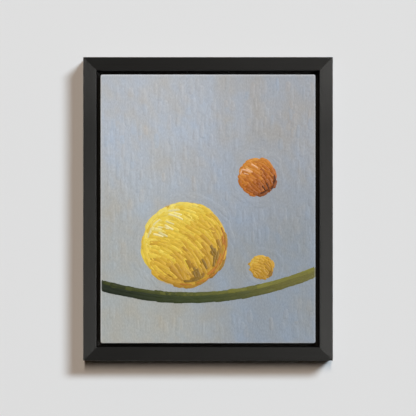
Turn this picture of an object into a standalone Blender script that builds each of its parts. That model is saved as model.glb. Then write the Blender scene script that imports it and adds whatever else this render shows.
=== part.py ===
"""A small stretched canvas in a black floater frame, ready to hang on one wall nail.

Metres, +Z up. The front faces -Y, the wall is the plane y = 0, and the origin is the notch of the
sawtooth hanger that rests on the nail.
"""

import math

import bmesh
import bpy
from mathutils import Matrix

MM = 0.001

# Driving sizes
CANVAS_WIDTH = 203.2 * MM
CANVAS_HEIGHT = 254.0 * MM
CANVAS_DEPTH = 19.05 * MM
RAIL_FACE = 12.7 * MM  # width of a rail's front face
FRAME_DEPTH = 31.75 * MM
FLOAT_GAP = 3.6 * MM  # open channel all round the canvas
RECESS = 3.0 * MM  # the canvas's face lies this far behind the rails' faces
WALL_SPACE = 2.5 * MM  # hanger and bumpers hold the frame off the wall
LEDGE_UNDER = 12.0 * MM  # how far the ledge reaches under the canvas
TOP_ABOVE_NOTCH = 15.0 * MM
SLACK = 0.3 * MM  # space left between pieces that touch

# Cloth
CLOTH = 0.8 * MM
CLOTH_EDGE_RADIUS = 1.3 * MM
CLOTH_CORNER_RADIUS = 1.7 * MM
LEAST_CORNER_RADIUS = 0.3 * MM
FLAP = 22.0 * MM  # width of the cloth turned over at the back
ARC_STEPS = 4

# Stretcher bars
BAR_WIDTH = 34.0 * MM
BAR_LIP = 6.0 * MM  # flat outer part of the bar's front, the only part under the cloth
BAR_FALL = 3.0 * MM  # how far the front slopes away behind the lip
BAR_EDGE_RADIUS = 0.8 * MM
TONGUE_THICKNESS = 5.0 * MM
TONGUE_SIDE = 6.0 * MM  # wood left beside the tongue on either edge of the bar
TONGUE_END = 4.0 * MM  # the tongue stops this far inside the joint's outer side
TONGUE_ROOT = 8.0 * MM  # how far the tongue runs back into its own bar

# Rails
RAIL_ARRIS = 0.7 * MM
MITRE_SPACE = 0.12 * MM  # taken off each end of a mitred piece, along its length

# Fixings
SCREW_FROM_CENTRE = 77.0 * MM
SCREW_UNDER = 6.0 * MM  # screw line, in from the canvas's outer side
SCREW_RADIUS = 1.5 * MM
SCREW_HEAD_RADIUS = 3.4 * MM
SCREW_HEAD = 2.1 * MM
SCREW_LENGTH = 16.0 * MM  # below the head
SCREW_TIP = 2.0 * MM
COUNTERBORE = 2.8 * MM
CROSS_REACH = 1.9 * MM
CROSS_WIDTH = 0.7 * MM
CROSS_DEPTH = 1.3 * MM

STAPLE_LINE = 16.5 * MM  # staple line, in from the canvas's outer side
STAPLE_CROWN = 10.6 * MM
STAPLE_WIRE = 0.6 * MM
STAPLE_WIDTH = 1.2 * MM
STAPLE_LEG = 6.0 * MM
STAPLE_PLACES = {
    "top": (4, 51.5 * MM),
    "bottom": (4, 51.5 * MM),
    "left": (5, 51.0 * MM),
    "right": (5, 51.0 * MM),
}

VNAIL_PLACES = {"outer": 7.0 * MM, "inner": 20.5 * MM}  # distance in from both outer sides
VNAIL_ARM = 3.6 * MM
VNAIL_SHEET = 0.45 * MM
VNAIL_DEPTH = 7.0 * MM
VNAIL_SINK = 0.2 * MM
VNAIL_OPENING = math.radians(110)

# Hanger
PLATE_LENGTH = 45.0 * MM
PLATE_HEIGHT = 9.5 * MM
PLATE_SHEET = 0.9 * MM
PLATE_LIFT = 0.2 * MM
PLATE_RAISED_HALF = 14.5 * MM
PLATE_RAMP = 2.2 * MM
PLATE_RISE = 1.2 * MM
TOOTH_PITCH = 3.2 * MM
TOOTH_DEPTH = 2.0 * MM
TOOTH_TIP = 0.5 * MM
NOTCHES = 9
NAIL_FROM_CENTRE = 19.7 * MM
NAIL_RADIUS = 0.8 * MM
NAIL_HEAD_RADIUS = 2.0 * MM
NAIL_HEAD = 0.55 * MM
NAIL_LENGTH = 11.0 * MM

# Bumpers
BUMPER_RADIUS = 4.8 * MM
BUMPER_FLAT_RADIUS = 2.6 * MM
BUMPER_FROM_SIDE = 27.0 * MM
BUMPER_FROM_BOTTOM = 14.0 * MM
BUMPER_LIFT = 0.1 * MM

ROUND_STEPS = 20
OVERSHOOT = 1.0 * MM  # how far a cutter passes the surface that it opens

# Worked out from the sizes above
FRAME_WIDTH = CANVAS_WIDTH + 2 * (FLOAT_GAP + RAIL_FACE)
FRAME_HEIGHT = CANVAS_HEIGHT + 2 * (FLOAT_GAP + RAIL_FACE)
CENTRE_Z = TOP_ABOVE_NOTCH - FRAME_HEIGHT / 2
BACK_Y = -WALL_SPACE
FACE_Y = BACK_Y - FRAME_DEPTH
CLOTH_FRONT_Y = FACE_Y + RECESS
CLOTH_BACK_Y = CLOTH_FRONT_Y + CANVAS_DEPTH
LEDGE_Y = CLOTH_BACK_Y + SLACK
CANVAS_INSET = RAIL_FACE + FLOAT_GAP  # from the frame's outer side to the canvas's
LEDGE_REACH = CANVAS_INSET + LEDGE_UNDER
BAR_INSET = CANVAS_INSET + CLOTH + SLACK
BAR_FRONT_Y = CLOTH_FRONT_Y + CLOTH + SLACK
BAR_BACK_Y = CLOTH_BACK_Y - CLOTH - SLACK
BAR_MIDDLE_Y = (BAR_FRONT_Y + BAR_BACK_Y) / 2

# A side's turn about Y takes the bottom side's inward direction, +Z, to that side's own
SIDE_TURN = {
    "bottom": 0.0,
    "left": math.pi / 2,
    "top": math.pi,
    "right": -math.pi / 2,
}
UPRIGHT_SIDES = ("left", "right")
LEVEL_SIDES = ("top", "bottom")

# Colour, roughness, metallic
FINISHES = {
    "rail": ((0.030, 0.030, 0.028), 0.45, 0.0),
    "canvas": ((0.36, 0.38, 0.40), 0.75, 0.0),
    "bar": ((0.66, 0.47, 0.28), 0.60, 0.0),
    "staple": ((0.60, 0.60, 0.61), 0.35, 1.0),
    "vnail": ((0.42, 0.43, 0.45), 0.40, 1.0),
    "screw": ((0.55, 0.55, 0.57), 0.30, 1.0),
    "hanger_plate": ((0.62, 0.62, 0.64), 0.32, 1.0),
    "hanger_nail": ((0.55, 0.55, 0.57), 0.30, 1.0),
    "bumper": ((0.45, 0.45, 0.43), 0.50, 0.0),
}


def clear_scene():
    for obj in list(bpy.data.objects):
        bpy.data.objects.remove(obj, do_unlink=True)


def finish_material(name, kind):
    """A Principled BSDF material of its own for each piece."""
    colour, roughness, metallic = FINISHES[kind]
    material = bpy.data.materials.new(name)
    material.use_nodes = True
    shader = material.node_tree.nodes["Principled BSDF"]
    shader.inputs["Base Color"].default_value = (*colour, 1.0)
    shader.inputs["Roughness"].default_value = roughness
    shader.inputs["Metallic"].default_value = metallic
    return material


def add_object(name, shape, place=None):
    """Turns a bmesh into a named object at a place and frees the bmesh."""
    bmesh.ops.recalc_face_normals(shape, faces=shape.faces)
    mesh = bpy.data.meshes.new(name)
    shape.to_mesh(mesh)
    shape.free()
    obj = bpy.data.objects.new(name, mesh)
    bpy.context.scene.collection.objects.link(obj)
    if place is not None:
        obj.matrix_world = place
    return obj


def add_piece(name, kind, shape, place=None, smooth=False):
    obj = add_object(name, shape, place)
    obj.data.materials.append(finish_material(name, kind))
    if smooth:
        obj.data.shade_smooth()
        obj.data.set_sharp_from_angle(angle=math.radians(40))
    return obj


def add_cutter(name, shape):
    cutter = add_object(name, shape)
    cutter.hide_render = True
    cutter.display_type = "WIRE"
    return cutter


def combine(obj, other, operation="DIFFERENCE"):
    modifier = obj.modifiers.new(other.name, "BOOLEAN")
    modifier.operation = operation
    modifier.solver = "EXACT"
    modifier.object = other


def side_place(side, inset=0.0):
    """Local X runs along a side, local Z points inward, and Z = 0 lies inset in from the frame's edge."""
    half = FRAME_WIDTH / 2 if side in UPRIGHT_SIDES else FRAME_HEIGHT / 2
    return (
        Matrix.Translation((0, 0, CENTRE_Z))
        @ Matrix.Rotation(SIDE_TURN[side], 4, "Y")
        @ Matrix.Translation((0, 0, inset - half))
    )


def side_length(side, inset=0.0):
    full = FRAME_HEIGHT if side in UPRIGHT_SIDES else FRAME_WIDTH
    return full - 2 * inset


def arc(centre, radius, start, end, steps=ARC_STEPS):
    """Points on an arc, from the angle start to the angle end, both included."""
    angles = [start + (end - start) * i / steps for i in range(steps + 1)]
    return [
        (centre[0] + radius * math.cos(a), centre[1] + radius * math.sin(a))
        for a in angles
    ]


def new_points(shape, known):
    return [v for v in shape.verts if v not in known]


def prism(shape, outline, low, high, at=lambda u, v, w: (u, w, v), place=None):
    """Adds a closed prism: outline of (u, v) points, carried along w from low to high."""
    known = set(shape.verts)
    face = shape.faces.new([shape.verts.new(at(u, v, low)) for u, v in outline])
    swept = bmesh.ops.extrude_face_region(shape, geom=[face])["geom"]
    moved = [v for v in swept if isinstance(v, bmesh.types.BMVert)]
    step = [b - a for a, b in zip(at(0, 0, low), at(0, 0, high))]
    bmesh.ops.translate(shape, verts=moved, vec=step)
    if place is not None:
        bmesh.ops.transform(shape, matrix=place, verts=new_points(shape, known))


def rectangle(left, right, low, high):
    return [(left, low), (right, low), (right, high), (left, high)]


def turned(shape, profile, place):
    """Adds a closed turned form: profile of (radius, y) points from axis to axis, about local Y."""
    known = set(shape.verts)
    line = [shape.verts.new((radius, y, 0)) for radius, y in profile]
    edges = [shape.edges.new(pair) for pair in zip(line, line[1:])]
    bmesh.ops.spin(
        shape,
        geom=line + edges,
        cent=(0, 0, 0),
        axis=(0, 1, 0),
        angle=2 * math.pi,
        steps=ROUND_STEPS,
        use_merge=True,
    )
    bmesh.ops.remove_doubles(shape, verts=new_points(shape, known), dist=0.001 * MM)
    bmesh.ops.transform(shape, matrix=place, verts=new_points(shape, known))


# Rails


def rail_outline():
    """The L section as (inward, y) points: a wall in front and beside, and a ledge behind the canvas."""
    soft = RAIL_ARRIS
    outer = arc((soft, FACE_Y + soft), soft, -math.pi, -math.pi / 2)
    inner = arc((RAIL_FACE - soft, FACE_Y + soft), soft, -math.pi / 2, 0)
    ledge = [(RAIL_FACE, LEDGE_Y), (LEDGE_REACH, LEDGE_Y), (LEDGE_REACH, BACK_Y)]
    back = arc((soft, BACK_Y - soft), soft, math.pi / 2, math.pi)
    return outer + inner + ledge + back


def mitred_length(name, kind, side, outline, inset):
    """Carries an (inward, y) outline along one side, with both ends cut at 45 degrees."""
    half = side_length(side, inset) / 2 - MITRE_SPACE
    shape = bmesh.new()
    prism(shape, outline, -half, half, at=lambda u, v, w: (w, v, u))
    for vert in shape.verts:
        vert.co.x -= math.copysign(vert.co.z, vert.co.x)
    return add_piece(name, kind, shape, side_place(side, inset))


def add_rails():
    outline = rail_outline()
    return {
        side: mitred_length(f"rail_{side}", "rail", side, outline, 0.0)
        for side in SIDE_TURN
    }


# Stretcher bars


def bar_outline():
    """The bar's section as (inward, y) points: a flat outer lip, then a front that slopes away."""
    soft = BAR_EDGE_RADIUS
    front = arc((soft, BAR_FRONT_Y + soft), soft, -math.pi, -math.pi / 2)
    slope = [(BAR_LIP, BAR_FRONT_Y), (BAR_WIDTH, BAR_FRONT_Y + BAR_FALL)]
    inner = [(BAR_WIDTH, BAR_BACK_Y)]
    back = arc((soft, BAR_BACK_Y - soft), soft, math.pi / 2, math.pi)
    return front + slope + inner + back


def tongue_blocks(shape, sides, grow, reach_out):
    """A block across each corner joint of the named level bars.

    It lies inside the level bar's width and runs out into the upright bar.
    """
    thick = TONGUE_THICKNESS / 2 + grow
    out = side_length("top", BAR_INSET) / 2 - reach_out
    root = side_length("top", BAR_INSET) / 2 - BAR_WIDTH - TONGUE_ROOT - grow
    edge = side_length("left", BAR_INSET) / 2
    low = edge - BAR_WIDTH + TONGUE_SIDE - grow
    high = edge - TONGUE_SIDE + grow
    for side in sides:
        z_sign = 1 if side == "top" else -1
        z_ends = sorted((CENTRE_Z + z_sign * low, CENTRE_Z + z_sign * high))
        for x_sign in (-1, 1):
            x_ends = sorted((x_sign * root, x_sign * out))
            outline = rectangle(*x_ends, *z_ends)
            prism(shape, outline, BAR_MIDDLE_Y - thick, BAR_MIDDLE_Y + thick)


def add_bars():
    """Level bars carry a tongue at each end, upright bars the slots that take them."""
    outline = bar_outline()
    bars = {
        side: mitred_length(f"bar_{side}", "bar", side, outline, BAR_INSET)
        for side in SIDE_TURN
    }
    for side in LEVEL_SIDES:
        tongues = bmesh.new()
        tongue_blocks(tongues, (side,), 0.0, TONGUE_END)
        combine(bars[side], add_cutter(f"tongues_{side}", tongues), "UNION")
    slots = bmesh.new()
    tongue_blocks(slots, LEVEL_SIDES, SLACK, -OVERSHOOT)
    slots = add_cutter("tongue_slots", slots)
    for side in UPRIGHT_SIDES:
        combine(bars[side], slots)
    return bars


# Canvas


def cloth_ring(shape, inset, y):
    """A rounded rectangle of vertices, inset in from the canvas's outer sides."""
    radius = max(CLOTH_CORNER_RADIUS - inset, LEAST_CORNER_RADIUS)
    across = CANVAS_WIDTH / 2 - inset - radius
    up = CANVAS_HEIGHT / 2 - inset - radius
    corners = ((across, up), (-across, up), (-across, -up), (across, -up))
    ring = []
    for turn, centre in enumerate(corners):
        start = turn * math.pi / 2
        ring += arc(centre, radius, start, start + math.pi / 2)
    return [shape.verts.new((x, y, CENTRE_Z + z)) for x, z in ring]


def cloth_section():
    """The cloth's section as (inset, y) points, from the painted face round the back and in again."""
    outer = CLOTH_EDGE_RADIUS
    inner = outer - CLOTH
    quarter = math.pi / 2
    painted = arc((outer, CLOTH_FRONT_Y + outer), outer, -quarter, -math.pi)
    turned_back = arc((outer, CLOTH_BACK_Y - outer), outer, math.pi, quarter)
    flap = [(FLAP, CLOTH_BACK_Y), (FLAP, CLOTH_BACK_Y - CLOTH)]
    behind = arc((outer, CLOTH_BACK_Y - outer), inner, quarter, math.pi)
    front = arc((outer, CLOTH_FRONT_Y + outer), inner, -math.pi, -quarter)
    return painted + turned_back + flap + behind + front


def add_canvas():
    """One cloth: the painted face, its four sides and the flap turned over at the back."""
    shape = bmesh.new()
    rings = [cloth_ring(shape, inset, y) for inset, y in cloth_section()]
    for near, far in zip(rings, rings[1:]):
        for i, vert in enumerate(near):
            j = (i + 1) % len(near)
            shape.faces.new((vert, near[j], far[j], far[i]))
    shape.faces.new(rings[0])
    shape.faces.new(rings[-1])
    return add_piece("canvas", "canvas", shape)


# Staples


def staple_spots():
    """(side, number, place along the side) for every staple."""
    spots = []
    for side, (count, pitch) in STAPLE_PLACES.items():
        for number in range(count):
            spots.append((side, number + 1, (number - (count - 1) / 2) * pitch))
    return spots


def staple_place(side, along):
    slide = Matrix.Translation((along, 0, 0))
    return side_place(side, CANVAS_INSET + STAPLE_LINE) @ slide


def upright(u, v, w):
    """For prism: the outline lies in the XY plane and is carried along Z."""
    return (u, v, w)


def add_staples():
    """A U of flat wire each: its crown behind the flap, its chisel-cut legs forward in the bar."""
    half, width = STAPLE_CROWN / 2, STAPLE_WIDTH / 2
    inside = half - STAPLE_WIRE
    under = CLOTH_BACK_Y + SLACK
    tip = under - STAPLE_LEG
    right = [(inside, under), (inside, tip), (half, tip + STAPLE_WIRE)]
    right += [(half, under + STAPLE_WIRE)]
    outline = right + [(-u, v) for u, v in reversed(right)]
    for side, number, along in staple_spots():
        shape = bmesh.new()
        prism(shape, outline, -width, width, at=upright)
        place = staple_place(side, along)
        add_piece(f"staple_{side}_{number}", "staple", shape, place)


def leg_holes(shape):
    half, width = STAPLE_CROWN / 2, STAPLE_WIDTH / 2 + SLACK
    under = CLOTH_BACK_Y + SLACK
    low = under - STAPLE_LEG - SLACK
    for side, _, along in staple_spots():
        for sign in (-1, 1):
            ends = sorted((sign * (half + SLACK), sign * (half - STAPLE_WIRE - SLACK)))
            leg = rectangle(*ends, low, under)
            place = staple_place(side, along)
            prism(shape, leg, -width, width, at=upright, place=place)


# Screws


def screw_places():
    places = {}
    for side in UPRIGHT_SIDES:
        for level, sign in (("upper", 1), ("lower", -1)):
            middle = side_place(side, CANVAS_INSET + SCREW_UNDER).to_translation()
            spot = (middle.x, 0, middle.z + sign * SCREW_FROM_CENTRE)
            places[f"{side}_{level}"] = Matrix.Translation(spot)
    return places


def screw_profile():
    """(radius, y) points: a pan head in its counterbore, then a plain shank with a point."""
    seat = BACK_Y - COUNTERBORE + SLACK
    soft = SCREW_HEAD / 2
    crown = arc((SCREW_HEAD_RADIUS - soft, seat + soft), soft, math.pi / 2, 0)
    return (
        [(0, seat + SCREW_HEAD)]
        + crown
        + [
            (SCREW_HEAD_RADIUS, seat),
            (SCREW_RADIUS, seat),
            (SCREW_RADIUS, seat - SCREW_LENGTH + SCREW_TIP),
            (0, seat - SCREW_LENGTH),
        ]
    )


def add_screws():
    """Four screws with a cross recess, each cut by its own pair of crossed blades."""
    top = BACK_Y - COUNTERBORE + SLACK + SCREW_HEAD
    for name, place in screw_places().items():
        shape = bmesh.new()
        turned(shape, screw_profile(), place)
        screw = add_piece(f"screw_{name}", "screw", shape, smooth=True)
        cross = bmesh.new()
        cross_outline = cross_points(place.translation.x, place.translation.z)
        prism(cross, cross_outline, top - CROSS_DEPTH, top + OVERSHOOT)
        combine(screw, add_cutter(f"cross_{name}", cross))


def cross_points(x, z):
    """A plus sign of twelve points round (x, z)."""
    long, short = CROSS_REACH, CROSS_WIDTH / 2
    arm = [(long, -short), (long, short), (short, short)]
    points = []
    for turn in range(4):
        c, s = round(math.cos(turn * math.pi / 2)), round(math.sin(turn * math.pi / 2))
        points += [(x + u * c - v * s, z + u * s + v * c) for u, v in arm]
    return points


def screw_holes(shape, head):
    """A hole for each screw: a counterbored one through the ledge, or a plain blind one."""
    seat = BACK_Y - COUNTERBORE
    wide, tight = SCREW_HEAD_RADIUS + SLACK, SCREW_RADIUS + SLACK
    tip = seat - SCREW_LENGTH - SLACK
    profile = [(0, BACK_Y + OVERSHOOT)]
    if head:
        profile += [(wide, BACK_Y + OVERSHOOT), (wide, seat)]
    else:
        profile += [(tight, BACK_Y + OVERSHOOT)]
    profile += [(tight, seat), (tight, tip + SCREW_TIP), (0, tip)]
    for place in screw_places().values():
        turned(shape, profile, place)


# V-nails


def vnail_points(grow=0.0):
    """A V of sheet metal, seen along y: its apex on the mitre line and an arm in either rail."""
    half = VNAIL_SHEET / 2 + grow
    lean = VNAIL_OPENING / 2
    reach = VNAIL_ARM + grow
    arm = (math.sin(lean), math.cos(lean))
    side = (arm[1] * half, -arm[0] * half)
    notch = half / math.sin(lean)
    tip_in = (arm[0] * reach - side[0], arm[1] * reach - side[1])
    tip_out = (arm[0] * reach + side[0], arm[1] * reach + side[1])
    right = [(0, -notch), tip_out, tip_in, (0, notch)]
    left = [(-u, v) for u, v in reversed(right[1:3])]
    return right + left


def vnail_places():
    """A frame for each V-nail: its V opens towards the corner that it closes."""
    places = {}
    for z_name, z_sign in (("top", 1), ("bottom", -1)):
        for x_name, x_sign in (("left", -1), ("right", 1)):
            for which, inset in VNAIL_PLACES.items():
                x = x_sign * (FRAME_WIDTH / 2 - inset)
                z = CENTRE_Z + z_sign * (FRAME_HEIGHT / 2 - inset)
                turn = math.atan2(x_sign, z_sign)
                places[f"{z_name}_{x_name}_{which}"] = Matrix.Translation(
                    (x, 0, z)
                ) @ Matrix.Rotation(turn, 4, "Y")
    return places


def add_vnails():
    low, high = BACK_Y - VNAIL_DEPTH, BACK_Y - VNAIL_SINK
    for name, place in vnail_places().items():
        shape = bmesh.new()
        prism(shape, vnail_points(), low, high)
        add_piece(f"vnail_{name}", "vnail", shape, place)


def vnail_slots(shape):
    low, high = BACK_Y - VNAIL_DEPTH - SLACK, BACK_Y + OVERSHOOT
    for place in vnail_places().values():
        prism(shape, vnail_points(SLACK), low, high, place=place)


# Hanger


def plate_outline():
    """The sheet's section as (x, y) points: flat ends on the rail and a raised middle."""
    low = BACK_Y + PLATE_LIFT
    end, shoulder = PLATE_LENGTH / 2, PLATE_RAISED_HALF
    under = [
        (-end, low),
        (-shoulder - PLATE_RAMP, low),
        (-shoulder, low + PLATE_RISE),
        (shoulder, low + PLATE_RISE),
        (shoulder + PLATE_RAMP, low),
        (end, low),
    ]
    over = [(x, y + PLATE_SHEET) for x, y in reversed(under)]
    return under + over


def nail_height():
    return PLATE_HEIGHT / 2 - TOOTH_DEPTH


def notch_row(shape):
    """Triangles along the plate's lower edge, their points up at z = 0."""
    half = (TOOTH_PITCH - TOOTH_TIP) / 2
    low = -TOOTH_DEPTH - OVERSHOOT
    for number in range(NOTCHES):
        x = (number - (NOTCHES - 1) / 2) * TOOTH_PITCH
        wedge = [(x - half, low), (x + half, low), (x + half, -TOOTH_DEPTH)]
        wedge += [(x, 0), (x - half, -TOOTH_DEPTH)]
        prism(shape, wedge, BACK_Y, OVERSHOOT)


def nail_profile():
    """(radius, y) points: a flat head on the plate's end, then a shank with a point."""
    seat = BACK_Y + PLATE_LIFT + PLATE_SHEET + PLATE_LIFT
    return [
        (0, seat + NAIL_HEAD),
        (NAIL_HEAD_RADIUS * 0.8, seat + NAIL_HEAD),
        (NAIL_HEAD_RADIUS, seat + NAIL_HEAD / 2),
        (NAIL_HEAD_RADIUS, seat),
        (NAIL_RADIUS, seat),
        (NAIL_RADIUS, seat - NAIL_LENGTH + 2 * NAIL_RADIUS),
        (0, seat - NAIL_LENGTH),
    ]


def nail_places():
    return {
        name: Matrix.Translation((sign * NAIL_FROM_CENTRE, 0, nail_height()))
        for name, sign in (("left", -1), ("right", 1))
    }


def nail_holes(shape):
    hole = NAIL_RADIUS + SLACK
    tip = BACK_Y + PLATE_SHEET - NAIL_LENGTH
    profile = [(0, OVERSHOOT), (hole, OVERSHOOT), (hole, tip), (0, tip)]
    for place in nail_places().values():
        turned(shape, profile, place)


def add_hanger():
    shape = bmesh.new()
    low, high = -TOOTH_DEPTH, PLATE_HEIGHT - TOOTH_DEPTH
    prism(shape, plate_outline(), low, high, at=upright)
    plate = add_piece("hanger_plate", "hanger_plate", shape)
    cuts = bmesh.new()
    notch_row(cuts)
    nail_holes(cuts)
    combine(plate, add_cutter("plate_cuts", cuts))
    for name, place in nail_places().items():
        nail = bmesh.new()
        turned(nail, nail_profile(), place)
        add_piece(f"hanger_nail_{name}", "hanger_nail", nail, smooth=True)


# Bumpers


def add_bumpers():
    """Two soft domes with a flat top, which meet the wall at y = 0."""
    seat = BACK_Y + BUMPER_LIFT
    rise = -seat
    spread = BUMPER_RADIUS - BUMPER_FLAT_RADIUS
    dome = [
        (BUMPER_FLAT_RADIUS + spread * math.sin(a), seat + rise * math.cos(a))
        for a in (math.pi / 2 * i / ARC_STEPS for i in range(ARC_STEPS + 1))
    ]
    for name, sign in (("left", -1), ("right", 1)):
        x = sign * (FRAME_WIDTH / 2 - BUMPER_FROM_SIDE)
        z = CENTRE_Z - FRAME_HEIGHT / 2 + BUMPER_FROM_BOTTOM
        shape = bmesh.new()
        turned(shape, [(0, 0)] + dome + [(0, seat)], Matrix.Translation((x, 0, z)))
        add_piece(f"bumper_{name}", "bumper", shape, smooth=True)


# Holes that the fixings need


def cut_holes(rails, bars, canvas):
    in_rails = bmesh.new()
    screw_holes(in_rails, head=True)
    vnail_slots(in_rails)
    nail_holes(in_rails)
    rail_cutter = add_cutter("rail_holes", in_rails)
    for rail in rails.values():
        combine(rail, rail_cutter)

    in_bars = bmesh.new()
    screw_holes(in_bars, head=False)
    leg_holes(in_bars)
    bar_cutter = add_cutter("bar_holes", in_bars)
    for bar in bars.values():
        combine(bar, bar_cutter)
    combine(canvas, bar_cutter)


def build():
    clear_scene()
    rails = add_rails()
    bars = add_bars()
    canvas = add_canvas()
    cut_holes(rails, bars, canvas)
    add_staples()
    add_screws()
    add_vnails()
    add_hanger()
    add_bumpers()


build()
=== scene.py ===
import math

import bmesh
import bpy
import numpy as np
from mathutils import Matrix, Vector


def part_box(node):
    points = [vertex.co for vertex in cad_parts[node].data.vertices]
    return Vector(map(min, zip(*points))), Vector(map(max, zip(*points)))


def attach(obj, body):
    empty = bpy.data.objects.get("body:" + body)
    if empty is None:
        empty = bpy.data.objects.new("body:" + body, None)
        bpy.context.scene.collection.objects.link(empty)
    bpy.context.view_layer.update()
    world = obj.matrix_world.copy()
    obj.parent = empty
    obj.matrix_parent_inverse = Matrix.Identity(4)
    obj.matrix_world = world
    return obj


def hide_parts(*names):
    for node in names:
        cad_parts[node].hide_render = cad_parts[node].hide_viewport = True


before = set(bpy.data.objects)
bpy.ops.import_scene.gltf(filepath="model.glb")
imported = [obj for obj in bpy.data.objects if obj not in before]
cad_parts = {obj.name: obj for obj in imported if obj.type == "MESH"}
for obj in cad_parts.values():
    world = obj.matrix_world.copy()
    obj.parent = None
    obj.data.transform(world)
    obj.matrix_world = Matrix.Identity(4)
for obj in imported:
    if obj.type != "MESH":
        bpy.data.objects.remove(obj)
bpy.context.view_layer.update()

mm = 0.001


# Colour, noise and meshes that every piece uses

def toLinear(code):
    # sRGB hex to linear light: c / 12.92 in the toe, else ((c + 0.055) / 1.055) to the power 2.4
    c = np.array([int(code[i:i + 2], 16) for i in (0, 2, 4)]) / 255
    return np.where(c <= 0.04045, c / 12.92, ((c + 0.055) / 1.055) ** 2.4)


def rgba(tone):
    # A hex code, a linear tone or a grey from 0 to 1, as a shader's socket takes it
    linear = toLinear(tone) if isinstance(tone, str) else np.broadcast_to(tone, 3)
    return (*linear, 1.0)


def mixed(first, second, share):
    # The first where share is 0, the second where it is 1 and a straight mix between
    return first * (1 - share) + second * share


def smooth(low, high, value):
    # 0 below low, 1 above high, and 3t^2 - 2t^3 between them
    t = np.clip((value - low) / (high - low), 0, 1)
    return t * t * (3 - 2 * t)


def latticeNoise(a, b, seed):
    # Random heights from 0 to 1 on a unit lattice in a and b, joined by smooth steps
    size = 128
    table = np.random.default_rng(seed).random((size, size))
    i, j = np.floor(a).astype(int), np.floor(b).astype(int)
    u, v = smooth(0, 1, a - i), smooth(0, 1, b - j)
    near = mixed(table[i % size, j % size], table[(i + 1) % size, j % size], u)
    far = mixed(table[i % size, (j + 1) % size], table[(i + 1) % size, (j + 1) % size], u)
    return mixed(near, far, v)


def gridQuads(rows, cols, wrap=False):
    # The corners of each cell in a rows x cols block of points; wrap joins the last column to the first
    r = np.arange(rows - 1)[:, None] * cols
    c = np.arange(cols if wrap else cols - 1)[None, :]
    n = (c + 1) % cols
    return np.stack([r + c, r + n, r + cols + n, r + cols + c], -1).reshape(-1, 4)


def closedTube(rings):
    # A block of rings, each a loop of points, joined one to the next and capped at both ends
    rows, cols = rings.shape[:2]
    loop = list(range(cols))
    last = [(rows - 1) * cols + i for i in loop]
    return rings.reshape(-1, 3), gridQuads(rows, cols, wrap=True).tolist() + [loop[::-1], last]


def prism(outline, axis, low, high):
    # An outline in two axes, carried straight along the third from low to high
    flat = np.array(outline, float)
    return closedTube(np.stack([np.insert(flat, axis, end, axis=1) for end in (low, high)]))


def spun(radius, y, steps):
    # Rings round the Y axis at y[1] to y[-2], x and z being radius times cos and sin of the turn, with a
    # fan of faces from each end ring to a pole at y[0] and y[-1]
    turn = np.arange(steps) * 2 * math.pi / steps
    x, z = radius * np.cos(turn), radius * np.sin(turn)
    rings = np.stack([x, np.broadcast_to(y[1:-1, None], x.shape), z], -1).reshape(-1, 3)
    pole, last = len(rings), len(rings) - steps
    faces = gridQuads(len(y) - 2, steps, wrap=True).tolist()
    faces += [(pole, (i + 1) % steps, i) for i in range(steps)]
    faces += [(pole + 1, last + i, last + (i + 1) % steps) for i in range(steps)]
    return np.concatenate([rings, [[0, y[0], 0], [0, y[-1], 0]]]), faces


def turned(profile, steps):
    # (radius, y) points from pole to pole, carried round the Y axis
    radius, y = np.array(profile, float).T
    return spun(radius[1:-1, None], y, steps)


def pin(radius, start, end, steps):
    # A plain cylinder along Y
    return turned([(0, start), (radius, start), (radius, end), (0, end)], steps)


def joined(shapes):
    # Several shapes as one, each one's faces counted on from the points before it
    points, faces, start = [], [], 0
    for ownPoints, ownFaces in shapes:
        points.append(ownPoints)
        faces += [[i + start for i in face] for face in ownFaces]
        start += len(ownPoints)
    return np.concatenate(points), faces


def newMesh(name, shape, uv=None, colour=None):
    # Points and faces, with a map in metres and a colour for each point if given, and every closed
    # island's faces turned outwards
    mesh = bpy.data.meshes.new(name)
    mesh.from_pydata(shape[0].tolist(), [], [list(face) for face in shape[1]])
    if uv is not None:
        corner = np.empty(len(mesh.loops), np.int32)
        mesh.loops.foreach_get("vertex_index", corner)
        mesh.uv_layers.new(name="flow").data.foreach_set("uv", uv[corner].astype(np.float32).ravel())
    if colour is not None:
        tones = np.column_stack([colour, np.ones(len(colour))]).astype(np.float32)
        mesh.attributes.new("paint", "FLOAT_COLOR", "POINT").data.foreach_set("color", tones.ravel())
    work = bmesh.new()
    work.from_mesh(mesh)
    bmesh.ops.recalc_face_normals(work, faces=work.faces)
    work.to_mesh(mesh)
    work.free()
    return mesh


def newObject(name, data):
    # An object in the scene, at the origin
    made = bpy.data.objects.new(name, data)
    bpy.context.scene.collection.objects.link(made)
    return made


def shadeSmooth(piece, sharp):
    # Smooth shading, broken at edges sharper than the angle
    piece.data.shade_smooth()
    piece.data.set_sharp_from_angle(angle=math.radians(sharp))


def newPiece(name, shape, materials, slotName, nodes, sharp=40, **layers):
    # A piece made from a mesh or from points and faces. It rides on the one body and stands for its CAD
    # nodes.
    mesh = shape if isinstance(shape, bpy.types.Mesh) else newMesh(name, shape, **layers)
    piece = newObject(name, mesh)
    mesh.materials.clear()
    for material in materials:
        mesh.materials.append(material)
    shadeSmooth(piece, sharp)
    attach(piece, "root")
    if nodes:
        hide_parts(*nodes)
    return piece


def evenNormals(piece):
    # Large flat faces keep their own normals, and the rounding stays in the narrow faces at the edges
    modifier = piece.modifiers.new("evenNormals", "WEIGHTED_NORMAL")
    modifier.keep_sharp = True
    modifier.weight = 90


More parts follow.
